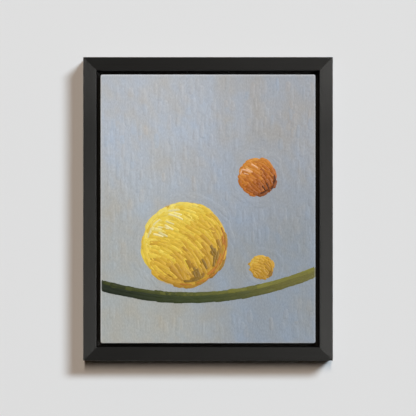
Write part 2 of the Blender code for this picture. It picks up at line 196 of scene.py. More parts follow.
def carve(piece, cutterShape, sharp):
    # Takes the cutter's closed shapes out of the piece and keeps the result as its mesh
    cutter = newObject("cutter", newMesh("cutter", cutterShape))
    modifier = piece.modifiers.new("carve", "BOOLEAN")
    modifier.operation = "DIFFERENCE"
    modifier.solver = "EXACT"
    modifier.object = cutter
    graph = bpy.context.evaluated_depsgraph_get()
    carved = bpy.data.meshes.new_from_object(piece.evaluated_get(graph))
    piece.modifiers.clear()
    piece.data = carved
    bpy.data.objects.remove(cutter)
    shadeSmooth(piece, sharp)


def setNode(node, settings):
    # A node's first live output, or a socket, is linked. Any other value goes to the socket of that name
    # or number where there is one, and else to the node itself.
    for key, value in settings.items():
        if isinstance(value, bpy.types.Node):
            value = next(socket for socket in value.outputs if socket.enabled)
        if isinstance(value, bpy.types.NodeSocket):
            node.id_data.links.new(value, node.inputs[key])
        elif isinstance(key, int) or key in node.inputs:
            node.inputs[key].default_value = value
        else:
            setattr(node, key, value)
    return node


def addNode(tree, kind, settings):
    # One shader node, set and linked in the order given
    return setNode(tree.nodes.new("ShaderNode" + kind), settings)


def newMaterial(name):
    # A material, its node tree and its shader
    material = bpy.data.materials.new(name)
    material.use_nodes = True
    return material, material.node_tree, material.node_tree.nodes["Principled BSDF"]


def drawnNoise(tree, place, size, detail, roughness):
    # Noise drawn out so that its cells measure size, in metres, along each axis
    flat = addNode(tree, "Mapping", {"Vector": place, "Scale": [1 / length for length in size]})
    return addNode(tree, "TexNoise", {"Vector": flat, "Scale": 1.0, "Detail": detail, "Roughness": roughness})


def setRamp(ramp, stops):
    # The ramp's stops as (place, tone)
    elements = ramp.color_ramp.elements
    while len(elements) < len(stops):
        elements.new(1.0)
    for element, (place, tone) in zip(elements, stops):
        element.position = place
        element.color = rgba(tone)


# Places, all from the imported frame

def boxOf(node):
    # The low and high corners of the node's box
    return [np.array(corner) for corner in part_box(node)]


def middleOf(node):
    # (low + high) / 2 of the node's box
    low, high = boxOf(node)
    return (low + high) / 2


def atNode(shape, node):
    # The shape moved in X and Z to the middle of the node's box
    x, _, z = middleOf(node)
    return shape[0] + np.array([x, 0, z]), shape[1]


def nodesNamed(start):
    # The frame's nodes whose names start so, in order
    return sorted(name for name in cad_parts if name.startswith(start))


def camel(name):
    # hanger_nail_left becomes hangerNailLeft
    first, *others = name.split("_")
    return first + "".join(part.title() for part in others)


canvasLow, canvasHigh = boxOf("canvas")
outerLow = np.array([boxOf("rail_left")[0][0], boxOf("rail_top")[0][1], boxOf("rail_bottom")[0][2]])
outerHigh = np.array([boxOf("rail_right")[1][0], boxOf("rail_top")[1][1], boxOf("rail_top")[1][2]])
middle = (outerLow + outerHigh) / 2
faceY, backY = outerLow[1], outerHigh[1]
halfWide, halfHigh = outerHigh[0], outerHigh[2] - middle[2]
# Each side of the frame: its outer edge's middle, its direction along, its direction inward and half its
# length
sides = {
    "top": (np.array([0, 0, outerHigh[2]]), np.array([-1, 0, 0]), np.array([0, 0, -1]), halfWide),
    "bottom": (np.array([0, 0, outerLow[2]]), np.array([1, 0, 0]), np.array([0, 0, 1]), halfWide),
    "left": (np.array([outerLow[0], 0, middle[2]]), np.array([0, 0, -1]), np.array([1, 0, 0]), halfHigh),
    "right": (np.array([outerHigh[0], 0, middle[2]]), np.array([0, 0, 1]), np.array([-1, 0, 0]), halfHigh),
}
print("frame loaded:", len(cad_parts), "nodes")


# Frame rails: black floater moulding

rails = {
    "face": 12.7 * mm, "ledge": boxOf("rail_left")[1][0] - boxOf("rail_left")[0][0],
    "ledgeY": canvasHigh[1] + 0.3 * mm,
    "radii": [0.8, 0.7, 0.2, 0.5, 0.5, 0.6],  # millimetres, from the outer front edge round the section
    "arcSteps": 6, "pointEvery": 0.6 * mm, "stations": 56, "mitreGap": 0.01 * mm,
    "grainDepth": 0.035 * mm, "grainWidth": 1.1 * mm, "grainLength": 45 * mm, "seed": 11,
}


def roundedOutline(corners, radii, every, steps):
    # Each right-angled corner becomes a quarter circle of its own radius, and straight runs get points at
    # equal steps
    corners = np.array(corners, float)
    toLast = np.roll(corners, 1, 0) - corners
    toNext = np.roll(corners, -1, 0) - corners
    toLast /= np.linalg.norm(toLast, axis=1)[:, None]
    toNext /= np.linalg.norm(toNext, axis=1)[:, None]
    r = radii[:, None, None]
    a = np.linspace(0, math.pi / 2, steps + 1)[None, :, None]
    centre = corners[:, None] + r * (toLast + toNext)[:, None]
    arcs = centre - r * (toNext[:, None] * np.cos(a) + toLast[:, None] * np.sin(a))
    ring = arcs.reshape(-1, 2)
    ends = np.roll(ring, -1, 0)
    count = np.maximum(np.ceil(np.linalg.norm(ends - ring, axis=1) / every).astype(int), 1)
    run = np.repeat(np.arange(len(ring)), count)
    part = (np.arange(len(run)) - np.repeat(np.cumsum(count) - count, count)) / count[run]
    return ring[run] + (ends - ring)[run] * part[:, None]


def railShape(side, s):
    # The L section carried along one side. Where a point lies in by u, its length is cut back by u, which
    # makes the mitre. Long grain lines lift it along its normal by noise that is narrow across and long
    # along.
    face, ledge, ledgeY = s["face"], s["ledge"], s["ledgeY"]
    corners = [(0, faceY), (face, faceY), (face, ledgeY), (ledge, ledgeY), (ledge, backY), (0, backY)]
    outline = roundedOutline(corners, np.array(s["radii"]) * mm, s["pointEvery"], s["arcSteps"])
    edge = np.roll(outline, -1, 0) - np.roll(outline, 1, 0)
    normal = np.column_stack([edge[:, 1], -edge[:, 0]]) / np.linalg.norm(edge, axis=1)[:, None]
    around = np.cumsum(np.linalg.norm(np.roll(outline, -1, 0) - outline, axis=1))
    start, direction, inward, half = sides[side]
    t = np.linspace(-1, 1, s["stations"])[:, None]
    along = t * half
    seed = s["seed"] + list(sides).index(side)
    grain = latticeNoise(around / s["grainWidth"], along / s["grainLength"] + 40, seed)
    fine = latticeNoise(around * 2.3 / s["grainWidth"], along * 1.7 / s["grainLength"] + 40, seed + 50)
    lift = s["grainDepth"] * (grain * 0.7 + fine * 0.3 - 1)
    u = outline[:, 0] + normal[:, 0] * lift
    y = outline[:, 1] + normal[:, 1] * lift
    length = t * (half - s["mitreGap"] - u)
    rings = start + direction * length[..., None] + inward * u[..., None] + np.array([0, 1, 0]) * y[..., None]
    return closedTube(rings), np.stack([length, np.broadcast_to(around, length.shape)], -1).reshape(-1, 2)


def blackLacquer():
    # Satin black lacquer sprayed on planed hardwood and rubbed down lengthwise: near black, with a soft
    # sheen that spreads across the grain, and faint lines where the grain reads through. The sheen is
    # lowest above the middle, where hands have rubbed it dull.
    material, tree, shader = newMaterial("satinBlackLacquer")
    flow = addNode(tree, "UVMap", {"uv_map": "flow"})
    place = addNode(tree, "TexCoord", {}).outputs["Object"]
    grain = drawnNoise(tree, flow, (60 * mm, 1.1 * mm, 1), 4.0, 0.6)
    rub = addNode(tree, "TexNoise", {"Vector": place, "Scale": 38.0, "Detail": 2.0})
    worn = addNode(tree, "Math", {"operation": "MULTIPLY_ADD", 0: grain, 1: 0.45, 2: rub})
    height = addNode(tree, "SeparateXYZ", {0: place}).outputs["Z"]
    up = addNode(tree, "MapRange", {
        "Value": height, "From Min": float(outerLow[2]), "From Max": float(outerHigh[2])})
    sheen = addNode(tree, "ValToRGB", {"Fac": up})
    setRamp(sheen, [(0.10, 0.58), (0.26, 0.51), (0.53, 0.44), (0.76, 0.36), (0.92, 0.56)])
    setNode(shader, {
        "Base Color": addNode(tree, "Mix", {
            "data_type": "RGBA", 0: grain, 6: rgba("181817"), 7: rgba("1e1e1d")}),
        "Roughness": addNode(tree, "MapRange", {
            "Value": worn, "From Min": 0.35, "From Max": 1.1, "To Min": 0.37, "To Max": 0.44}),
        "Normal": addNode(tree, "Bump", {"Height": grain, "Strength": 0.25, "Distance": 0.06 * mm}),
        "Tangent": addNode(tree, "Tangent", {"direction_type": "UV_MAP", "uv_map": "flow"}),
        "Specular IOR Level": sheen, "Anisotropic": 0.6, "Anisotropic Rotation": 0.25, "IOR": 1.5})
    return material


# Screws, V-nails and hanger nails: their sizes come first, since the rails are cut for them

screws = {
    "names": ["left_upper", "left_lower", "right_upper", "right_lower"], "steps": 40, "rings": 150,
    "headRadius": 3.4 * mm, "head": 2.1 * mm, "shank": 1.5 * mm, "core": 1.05 * mm, "pitch": 1.25 * mm,
    "point": 3.0 * mm, "threadStart": (2.5 * mm, 4.5 * mm), "counterbore": 2.8 * mm, "clear": 0.3 * mm,
    "crossReach": 1.9 * mm, "crossWidth": 0.75 * mm, "crossDepth": 1.35 * mm, "crossTaper": 0.55,
}
vNails = {
    "arm": 3.6 * mm, "sheet": 0.45 * mm, "opening": math.radians(110), "depth": 7.0 * mm, "clear": 0.12 * mm,
}
nails = {
    "names": ["left", "right"], "radius": 0.8 * mm, "headRadius": 2.0 * mm, "head": 0.55 * mm, "steps": 32,
    "clear": 0.15 * mm, "plateClear": 0.25 * mm, "room": 0.2 * mm,
}
overrun = 1 * mm  # how far every cutter runs on past the surface it opens


def vOutline(grow, angle):
    # A V of sheet, grown all round, as six (x, z) points: apex at the origin and arms towards +Z, then
    # turned
    half, lean, reach = vNails["sheet"] / 2 + grow, vNails["opening"] / 2, vNails["arm"] + grow
    arm = np.array([math.sin(lean), math.cos(lean)])
    side = np.array([arm[1], -arm[0]]) * half
    notch = half / math.sin(lean)
    right = np.array([(0, -notch), arm * reach + side, arm * reach - side, (0, notch)])
    x, z = np.concatenate([right, right[2:0:-1] * [-1, 1]]).T
    c, s = math.cos(angle), math.sin(angle)
    return np.column_stack([x * c + z * s, z * c - x * s])


def vSlots():
    # A slot for each V-nail, turned to the frame's corner. The node's box is centred off the apex by as
    # much as the turned outline's own box is.
    for node in nodesNamed("vnail"):
        level, upright = node.split("_")[1:3]
        angle = math.atan2(1 if upright == "right" else -1, 1 if level == "top" else -1)
        bare = vOutline(0, angle)
        apex = middleOf(node)[[0, 2]] - (bare.min(0) + bare.max(0)) / 2
        yield prism(vOutline(vNails["clear"], angle) + apex, 1,
                    backY - vNails["depth"] - vNails["clear"], backY + overrun)


def railCuts():
    # Counterbored screw holes, V-nail slots at the mitres and the hanger's two nail holes
    back, seat, tip = backY + overrun, backY - screws["counterbore"], canvasHigh[1] - overrun
    wide, tight = screws["headRadius"] + screws["clear"], screws["shank"] + screws["clear"]
    bore = turned(
        [(0, back), (wide, back), (wide, seat), (tight, seat), (tight, tip), (0, tip)], screws["steps"])
    shapes = [atNode(bore, "screw_" + name) for name in screws["names"]] + list(vSlots())
    for name in nails["names"]:
        node = "hanger_nail_" + name
        hole = pin(nails["radius"] + nails["clear"], back, boxOf(node)[0][1] - nails["room"], 24)
        shapes.append(atNode(hole, node))
    return joined(shapes)


def buildRails():
    # Four rails, each cut for the screws, the V-nails and the hanger nails
    lacquer = blackLacquer()
    cuts = railCuts()
    for side in sides:
        node = "rail_" + side
        shape, uv = railShape(side, rails)
        rail = newPiece(camel(node), shape, [lacquer], "black_painted_wood", [node], uv=uv)
        carve(rail, cuts, 40)
        evenNormals(rail)
    print("rails built")


# Stretcher bars: bare planed pine

bars = {
    "ease": 0.5 * mm, "longEdge": 12 * mm, "sharpEdge": 30, "flatWithin": 0.5,
    "ringWidth": 3.2 * mm, "ringLength": 220 * mm, "fibre": 0.35 * mm, "fibreLength": 20 * mm,
}


def easedCopy(node, s):
    # A copy of the node's mesh: doubles merged, flat faces joined, and every long sharp edge rounded
    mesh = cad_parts[node].data.copy()
    work = bmesh.new()
    work.from_mesh(mesh)
    bmesh.ops.remove_doubles(work, verts=work.verts, dist=0.001 * mm)
    flat = math.radians(s["flatWithin"])
    bmesh.ops.dissolve_limit(work, angle_limit=flat, verts=work.verts, edges=work.edges)
    long = [e for e in work.edges if e.calc_length() > s["longEdge"] and len(e.link_faces) == 2
            and e.calc_face_angle(0) > math.radians(s["sharpEdge"]) and e.is_convex]
    bmesh.ops.bevel(
        work, geom=long, offset=s["ease"], segments=3, profile=0.5, affect="EDGES", clamp_overlap=True)
    bmesh.ops.recalc_face_normals(work, faces=work.faces)
    work.to_mesh(mesh)
    work.free()
    return mesh


def barePine(name, lengthAxis, s):
    # Planed pine, left bare: pale yellow earlywood with darker, harder rings drawn out lengthwise, fine
    # fibres and a dry, even sheen.
    material, tree, shader = newMaterial(name)
    place = addNode(tree, "TexCoord", {}).outputs["Object"]
    across = 1 / s["ringWidth"]
    scale = [across, across * 0.55, across]
    scale[lengthAxis] = 1 / s["ringLength"]
    long = addNode(tree, "Mapping", {"Vector": place, "Scale": scale})
    warp = addNode(tree, "TexNoise", {"Vector": long, "Scale": 0.35, "Detail": 2.0}).outputs["Color"]
    bend = addNode(tree, "VectorMath", {"operation": "MULTIPLY_ADD", 0: warp, 1: (2.6, 2.6, 2.6), 2: long})
    rings = addNode(tree, "TexWave", {
        "Vector": bend, "bands_direction": "DIAGONAL", "Scale": 0.16, "Distortion": 1.6, "Detail": 2.0})
    rings = rings.outputs["Fac"]
    size = [s["fibre"]] * 3
    size[lengthAxis] = s["fibreLength"]
    fibre = drawnNoise(tree, place, size, 3.0, 0.65)
    ramp = addNode(tree, "ValToRGB", {"Fac": rings})
    setRamp(ramp, [(0.0, "e3c79a"), (0.55, "dcb983"), (0.82, "c99a5e"), (1.0, "dfc091")])
    tint = addNode(tree, "Mix", {"data_type": "RGBA", "blend_type": "MULTIPLY", 0: 0.45, 6: ramp, 7: fibre})
    ridges = addNode(tree, "Math", {"operation": "MULTIPLY_ADD", 0: rings, 1: 0.6, 2: fibre})
    setNode(shader, {
        "Base Color": addNode(tree, "HueSaturation", {"Color": tint, "Value": 1.22}),
        "Roughness": addNode(tree, "MapRange", {"Value": fibre, "To Min": 0.52, "To Max": 0.72}),
        "Normal": addNode(tree, "Bump", {"Height": ridges, "Strength": 0.5, "Distance": 0.08 * mm}),
        "IOR": 1.5, "Specular IOR Level": 0.4})
    return material


def buildBars():
    # The grain runs level in the top and bottom bars and upright in the side ones
    level, upright = barePine("barePineLevel", 0, bars), barePine("barePineUpright", 2, bars)
    pieces = []
    for side in sides:
        node = "bar_" + side
        pine = level if side in ("top", "bottom") else upright
        piece = newPiece("stretcher" + side.title(), easedCopy(node, bars), [pine], "pine", [node], sharp=35)
        evenNormals(piece)
        pieces.append(piece)
    print("stretcher bars built")
    return pieces


# Canvas: cotton cloth, primed outside and raw inside, pulled over the bars, folded at the corners and
# stapled

cloth = {
    "film": 0.25 * mm, "thick": 0.55 * mm, "thread": 0.6 * mm, "edge": 1.3 * mm, "corner": 1.7 * mm,
    "leastCorner": 0.35 * mm, "flap": 22 * mm, "fray": 0.4 * mm, "frayReach": 4 * mm, "sag": 0.25 * mm,
    "wander": 7 * mm, "nick": 2.7 * mm, "waves": (38 * mm, 52 * mm), "stillEdge": 12 * mm,
    "foldLift": 0.2 * mm, "foldRise": 0.5 * mm, "foldLength": 27 * mm, "foldSlant": 0.35,
    "foldFade": 1.1 * mm, "foldCrease": 0.35 * mm, "creaseWidth": 0.5 * mm, "ledgeEnd": (12 * mm, 14 * mm),
    "acrossPoints": 150, "upPoints": 184, "pack": 0.7, "seed": 31,
}
halfW = (canvasHigh[0] - canvasLow[0]) / 2
halfH = (canvasHigh[2] - canvasLow[2]) / 2
canvasZ = (canvasHigh[2] + canvasLow[2]) / 2
frontY, depth = canvasLow[1], canvasHigh[1] - canvasLow[1]


def spread(n, pack):
    # n + 1 places from 0 to 1, t - pack * sin(2 pi t) / 2 pi, which lie closer together near both ends
    t = np.linspace(0, 1, n + 1)
    return t - pack * np.sin(2 * math.pi * t) / (2 * math.pi)


def ring(inset, radius, nx, nz, pack=0.0):
    # A rounded rectangle as points anticlockwise from the lower left corner: nx steps on the level sides
    # and nz on the upright ones, each side running from the middle of one corner's arc to the middle of
    # the next
    points = []
    for n, along, out in ((nx, halfW, halfH), (nz, halfH, halfW)) * 2:
        length, outward = along - inset, out - inset
        r = min(max(radius, 1e-7), length)
        arc, straight = r * math.pi / 4, 2 * (length - r)
        q = spread(n, pack)[:-1] * (straight + r * math.pi / 2)
        first, last = np.clip((arc - q) / r, 0, None), np.clip((q - arc - straight) / r, 0, None)
        place = np.clip(q - arc, 0, straight) - (length - r) - r * np.sin(first) + r * np.sin(last)
        points.append((place, outward - r * (2 - np.cos(first) - np.cos(last))))
    (bottom, south), (right, east), (top, north), (left, west) = points
    x = np.concatenate([bottom, east, -top, -west])
    z = np.concatenate([-south, right, north, -left])
    return np.column_stack([x, z])


def borderLoop(nx, nz):
    # Indices of a (nz + 1) x (nx + 1) grid's border, anticlockwise from the lower left, in ring()'s order
    cols = nx + 1
    low = np.arange(nx)
    east = np.arange(nz) * cols + nx
    high = nz * cols + nx - np.arange(nx)
    west = (nz - np.arange(nz)) * cols
    return np.concatenate([low, east, high, west])


def fromFace(x, z, deep):
    # Points at x and z from the canvas's middle, as deep as given behind its painted face
    return np.column_stack([x, np.broadcast_to(frontY + deep, x.shape), z + canvasZ])


def frontGrid(inset, nx, nz, pack=0.0):
    # x and z of a grid over the face, inset all round
    x, z = (2 * spread(nx, pack) - 1) * (halfW - inset), (2 * spread(nz, pack) - 1) * (halfH - inset)
    gx, gz = np.meshgrid(x, z)
    return gx.ravel(), gz.ravel()


def joinLoops(first, second):
    # A band of quads between two loops of the same count, given as indices
    return np.column_stack([first, np.roll(first, -1), np.roll(second, -1), second]).tolist()


def foldRelief(xz, inset, s):
    # The turned cloth's corners: on the top and bottom flaps the folded triangle lies over the side flap,
    # thin under the ledge and higher past it. It ends on the diagonal, where a crease is drawn in, and
    # along a line that slants away from the corner.
    x, z = np.abs(xz[:, 0]), np.abs(xz[:, 1])
    fromSide, fromEnd = halfW - x, halfH - z
    onLevel = smooth(-0.1 * mm, 0.5 * mm, fromSide - fromEnd)
    inside = 1 - smooth(0, s["foldFade"], fromSide - s["foldLength"] + s["foldSlant"] * fromEnd)
    beyond = smooth(*s["ledgeEnd"], inset)
    inCrease = (fromSide - fromEnd + 0.3 * mm) / s["creaseWidth"]
    crease = s["foldCrease"] * beyond * np.exp(-inCrease ** 2)
    return onLevel * inside * (s["foldLift"] + s["foldRise"] * beyond) - crease


def frayed(xz, inset, s):
    # The flap's cut edge wanders in and out by two noises along it, of 7 mm and 2.7 mm, and not further in
    reach = smooth(s["flap"] - s["frayReach"], s["flap"], inset)
    along = np.where(np.abs(np.abs(xz[:, 0]) - halfW + inset) < 1e-6, xz[:, 1], xz[:, 0])
    wander = latticeNoise(along / s["wander"] + 300, along * 0, s["seed"]) - 0.5
    nick = latticeNoise(along / s["nick"] + 300, along * 0, s["seed"] + 3) - 0.5
    fray = (wander + 0.5 * nick) * 2 * s["fray"] * reach
    return xz * (1 - fray / np.array([halfW, halfH]).mean())[:, None]


def clothShape(s):
    # Rounded rectangles nested from the painted face round the edge, down the side, round to the back, in
    # along the flap, and back inside to a grid that closes the inner face. One face closes the front,
    # under the paint film. Every ring has the same count of points.
    nx, nz, film, thick = s["acrossPoints"], s["upPoints"], s["film"], s["thick"]
    edge, flap = s["edge"], s["flap"]
    outer, inner, under = edge - film, edge - film - thick, depth - edge
    quarter = np.linspace(0, math.pi / 2, 5)
    outside = [(edge - outer * math.sin(a), edge - outer * math.cos(a)) for a in quarter]
    outside += [(film, deep) for deep in np.linspace(edge, under, 8)[1:]]
    outside += [(edge - outer * math.cos(a), under + outer * math.sin(a)) for a in quarter[1:]]
    flapOut = [(inset, depth - film) for inset in np.linspace(edge, flap, 16)[1:]]
    flapIn = [(inset, depth - film - thick) for inset in np.linspace(flap, edge, 8)]
    inside = [(edge - inner * math.cos(a), under + inner * math.sin(a)) for a in quarter[-2::-1]]
    inside += [(film + thick, deep) for deep in np.linspace(under, edge, 6)[1:]]
    inside += [(edge - inner * math.cos(a), edge - inner * math.sin(a)) for a in quarter[1:]]
    points = []
    for k, (inset, deep) in enumerate(outside + flapOut + flapIn + inside):
        xz = ring(inset, max(s["corner"] - inset, s["leastCorner"]), nx, nz, s["pack"])
        if len(outside) <= k < len(outside + flapOut + flapIn):
            deep = deep + foldRelief(xz, inset, s)
            xz = frayed(xz, inset, s)
        points.append(fromFace(xz[:, 0], xz[:, 1], deep))
    count, size = len(points), 2 * (nx + nz)
    gx, gz = frontGrid(edge, nx, nz, s["pack"])
    wave = latticeNoise(gx / s["waves"][0] + 9, gz / s["waves"][1] + 9, s["seed"] + 1) - 0.5
    calm = np.minimum(halfW - np.abs(gx), halfH - np.abs(gz))
    points.append(fromFace(gx, gz, film + thick + wave * s["sag"] * smooth(0, s["stillEdge"], calm - edge)))
    faces = gridQuads(count, size, wrap=True).tolist()
    faces += joinLoops(np.arange(size) + (count - 1) * size, borderLoop(nx, nz) + count * size)
    faces += (gridQuads(nz + 1, nx + 1) + count * size).tolist()
    faces.append(list(range(size)))
    return (np.concatenate(points), faces), (len(outside + flapOut) - 1) * size


def weaveHeight(tree, place):
    # Plain weave as a height: the product of two sines, each one thread pair long
    split = addNode(tree, "SeparateXYZ", {0: place})
    waves = []
    for axis in "XZ":
        angle = addNode(tree, "Math", {
            "operation": "MULTIPLY", 0: split.outputs[axis], 1: math.pi / cloth["thread"]})
        waves.append(addNode(tree, "Math", {"operation": "SINE", 0: angle}))
    return addNode(tree, "Math", {"operation": "MULTIPLY", 0: waves[0], 1: waves[1]})


def cottonDuck(name, light, dark, deep, rough):
    # Cotton duck in plain weave, raw or sealed with white primer: matt, with rounded threads and a few
    # thick ones. The threads are 0.6 mm, the real spacing of a medium duck.
    material, tree, shader = newMaterial(name)
    place = addNode(tree, "TexCoord", {}).outputs["Object"]
    weave = weaveHeight(tree, place)
    slub = addNode(tree, "TexNoise", {"Vector": place, "Scale": 160.0, "Detail": 3.0, "Roughness": 0.6})
    # Colour follows the weave's height, painted shade in its hollows, and slubs that make threads paler or
    # darker
    threads = addNode(tree, "Math", {"operation": "MULTIPLY_ADD", 0: weave, 1: 0.22, 2: slub})
    setNode(shader, {
        "Base Color": addNode(tree, "Mix", {"data_type": "RGBA", 0: threads, 6: rgba(dark), 7: rgba(light)}),
        "Normal": addNode(tree, "Bump", {"Height": threads, "Strength": 0.7, "Distance": deep}),
        "Roughness": rough, "Specular IOR Level": 0.25, "Sheen Weight": 0.1})
    return material


def buildCloth():
    # From the flap's cut edge inwards the cloth is raw, and before it primed
    shape, rawFrom = clothShape(cloth)
    primed = cottonDuck("primedCottonDuck", "efece4", "dcd8cd", 0.08 * mm, 0.75)
    raw = cottonDuck("rawCottonDuck", "dccfb2", "bfae8b", 0.14 * mm, 0.9)
    piece = newPiece("canvasCloth", shape, [primed, raw], "painted_canvas", ["canvas"])
    corners = np.array([min(p.vertices) for p in piece.data.polygons])
    piece.data.polygons.foreach_set("material_index", (corners >= rawFrom).astype(np.int32))
    print("cloth built")
    return piece


# Paint: a film over the face and the sides, with relief, and thick strokes that stand on it. In its
# colours, noises and strokes, x and z are millimetres from the canvas's middle.

paint = {
    "nx": 232, "nz": 290, "down": 18.0 * mm, "turnedIn": 0.03 * mm, "relief": 0.10 * mm, "seed": 71,
    "paleBlue": "b9bdc2", "plainGrey": "a8a9ab", "warmGrey": "adaea8", "duskBlue": "929ca7",
    "upSpan": (-70, 110), "highSpan": (-55, 85), "lowSpan": (-62, 60), "layerFade": 0.6,
    "upShift": 46, "highShift": 24, "lowShift": 30,
    "lighter": {"cloud": 0.03, "small": 0.07, "streak": 0.006, "fleck": 0.015},
    "cooler": {"cloud": 0.10, "small": 0.10, "fleck": 0.08}, "coolTint": (-0.8, -0.05, 1),
    # The primer's white, with each side's share and fade, is a painted highlight along the canvas's edge
    "primer": "eeeeec", "bare": {"left": 0.52, "top": 0.33, "right": 0.16, "bottom": 0.20},
    "bareFade": (0.4, 1.7),
}
# Each noise on the canvas: its cells' size across and up, their shift, and what its seed adds
paintNoises = {
    "cloud": (46, 58, 20, 0), "small": (15, 24, 50, 1), "streak": (4.5, 40, 80, 2),
    "fleck": (6.5, 8.5, 70, 3), "wobble": (5, 5, 7, 5), "furrow": (1.9, 9, 60, 8), "swell": (13, 21, 30, 9),
}
# The generic design: three round shapes, each with its first layer's colour and its palette from shade to
# light, and one bowed band
discs = {
    "gold": {"at": (-22, -34), "radius": 42, "under": "d1a83a",
             "palette": ["946e22", "bb8c2e", "d6a936", "e5c040", "eed04f", "f6e276"]},
    "rust": {"at": (47, 30), "radius": 19.5, "under": "ae6524",
             "palette": ["713a12", "9b531d", "ba6b22", "d0842f", "e3a24e"]},
    "ochre": {"at": (51, -55), "radius": 12.5, "under": "c08e30",
              "palette": ["8f661e", "b78828", "d1a136", "e1bb4c"]},
}
band = {
    "low": -84, "bow": 0.0017, "lowX": -18, "half": 5.6, "rowGap": 3.1,
    "dark": "1d2617", "leaf": "3b4520", "olive": "6c6830", "leafSpan": (-95, 10), "oliveSpan": (-5, 95),
    "rimLeft": "545a26", "rimRight": "8d8a3a", "rimSpan": (-90, 60),
}


def paintNoise(name, x, z):
    # One of the noises above at x and z, from 0 to 1
    across, up, shift, more = paintNoises[name]
    return latticeNoise(x / across + shift, z / up + shift, paint["seed"] + more)


def pastRim(disc, x, z):
    # How far a point lies outside a disc
    return np.hypot(x - disc["at"][0], z - disc["at"][1]) - disc["radius"]


def bandHeight(x):
    # The band's middle line, a parabola
    return band["low"] + band["bow"] * (x - band["lowX"]) ** 2


def pastBand(x, z):
    # How far a point lies above or below the band's edge
    return np.abs(z - bandHeight(x)) - band["half"]


def groundColour(x, z):
    # Four tones mixed by position: pale blue at the upper left, plain grey at the upper right, warm grey
    # at the lower left and dusk blue at the lower right. Noises of four sizes drift them lighter, and
    # warmer or cooler.
    noises = {name: paintNoise(name, x, z) - 0.5 for name in ("cloud", "small", "streak")}
    noises["fleck"] = paintNoise("fleck", x + 0.5 * z, z - 0.4 * x) - 0.5
    low = 1 - smooth(*paint["upSpan"], z + paint["upShift"] * noises["cloud"])[:, None]
    rightHigh = smooth(*paint["highSpan"], x + paint["highShift"] * noises["cloud"])[:, None]
    rightLow = smooth(*paint["lowSpan"], x + paint["lowShift"] * noises["cloud"])[:, None]
    upper = mixed(toLinear(paint["paleBlue"]), toLinear(paint["plainGrey"]), rightHigh)
    lower = mixed(toLinear(paint["warmGrey"]), toLinear(paint["duskBlue"]), rightLow)
    lighter = sum(noises[name] * share for name, share in paint["lighter"].items())[:, None]
    cooler = sum(noises[name] * share for name, share in paint["cooler"].items())[:, None]
    return mixed(upper, lower, low) * (1 + lighter + cooler * np.array(paint["coolTint"]))


def paintedEdgeHighlight(x, z):
    # A painted highlight along the canvas's edge, in the primer's white as where paint thins: most at the
    # edge, and 0 from the end of its fade inwards. Each side has its own share, largest at the left and top.
    gaps = {"left": halfW / mm + x, "right": halfW / mm - x, "top": halfH / mm - z, "bottom": halfH / mm + z}
    parts = [(1 - smooth(*paint["bareFade"], gap)) * paint["bare"][side] for side, gap in gaps.items()]
    return np.maximum.reduce(parts)[:, None]


def bandColour(x):
    # Near-black green at the left, through leaf green, to olive at the right
    dark, leaf, olive = [toLinear(band[name]) for name in ("dark", "leaf", "olive")]
    toLeaf, toOlive = smooth(*band["leafSpan"], x)[:, None], smooth(*band["oliveSpan"], x)[:, None]
    return mixed(mixed(dark, leaf, toLeaf), olive, toOlive)


def underColour(x, z):
    # The thin first layer of every shape, so that no ground shows between the strokes on it
    colour = groundColour(x, z)
    wobble, fade = (paintNoise("wobble", x, z) - 0.5) * 1.6, paint["layerFade"]
    for disc in discs.values():
        inside = 1 - smooth(-fade, fade, pastRim(disc, x, z) + 2.2 + wobble)
        colour = mixed(colour, toLinear(disc["under"]), inside[:, None])
    inside = 1 - smooth(-fade, fade, pastBand(x, z) + 1.0 + wobble)
    colour = mixed(colour, bandColour(x), inside[:, None])
    # Last, a painted highlight in the primer's white along the canvas's edge, strongest at the left and top
    return mixed(colour, toLinear(paint["primer"]), paintedEdgeHighlight(x, z))


def filmRelief(x, z):
    # How far the ground stands out, in metres: short upright brush furrows over slow swells
    return paint["relief"] * (0.6 * paintNoise("furrow", x, z) + 0.4 * paintNoise("swell", x, z))


def filmShape(s):
    # A grid over the face, lifted by filmRelief, that goes on over the rounded edge and down the sides in
    # nested rings, turns in by the film's thickness and is closed behind.
    nx, nz, edge, film, down = s["nx"], s["nz"], cloth["edge"], cloth["film"], s["down"]
    gx, gz = frontGrid(edge, nx, nz)
    points = [fromFace(gx, gz, -filmRelief(gx / mm, gz / mm))]
    quarter = np.linspace(0, math.pi / 2, 6)[1:]
    rows = [(edge * (1 - math.sin(a)), edge * (1 - math.cos(a)), math.sin(a)) for a in quarter]
    rows += [(0, deep, 1) for deep in np.linspace(edge, down, 5)[1:]]
    rows += [(film - s["turnedIn"], down, 1), (film - s["turnedIn"], film, 1)]
    for inset, deep, share in rows:
        x, z = ring(inset, cloth["corner"] * share, nx, nz).T
        points.append(fromFace(x, z, deep - filmRelief(x / mm, z / mm) * max(0, 1 - deep / edge)))
    start, size = (nx + 1) * (nz + 1), 2 * (nx + nz)
    loop = np.arange(size) + start
    faces = gridQuads(nz + 1, nx + 1).tolist()
    faces += joinLoops(borderLoop(nx, nz), loop)
    faces += (gridQuads(len(rows), size, wrap=True) + start).tolist()
    faces.append((loop + (len(rows) - 1) * size).tolist())
    return np.concatenate(points), faces


def threadLines(tree, place):
    # The cloth's upright threads as they read through thin paint: a wavering sine across the canvas. The
    # lines lie 2.8 mm apart, nearly five real threads, since single ones are too fine to show.
    flat = addNode(tree, "Mapping", {"Vector": place, "Scale": (1 / mm, 1 / mm, 0.5 / mm)})
    lines = addNode(tree, "TexWave", {
        "Vector": flat, "bands_direction": "X", "Scale": math.pi / 10 / 2.8, "Distortion": 3.0, "Detail": 2.0,
        "Detail Scale": 0.6})
    return lines.outputs["Fac"]


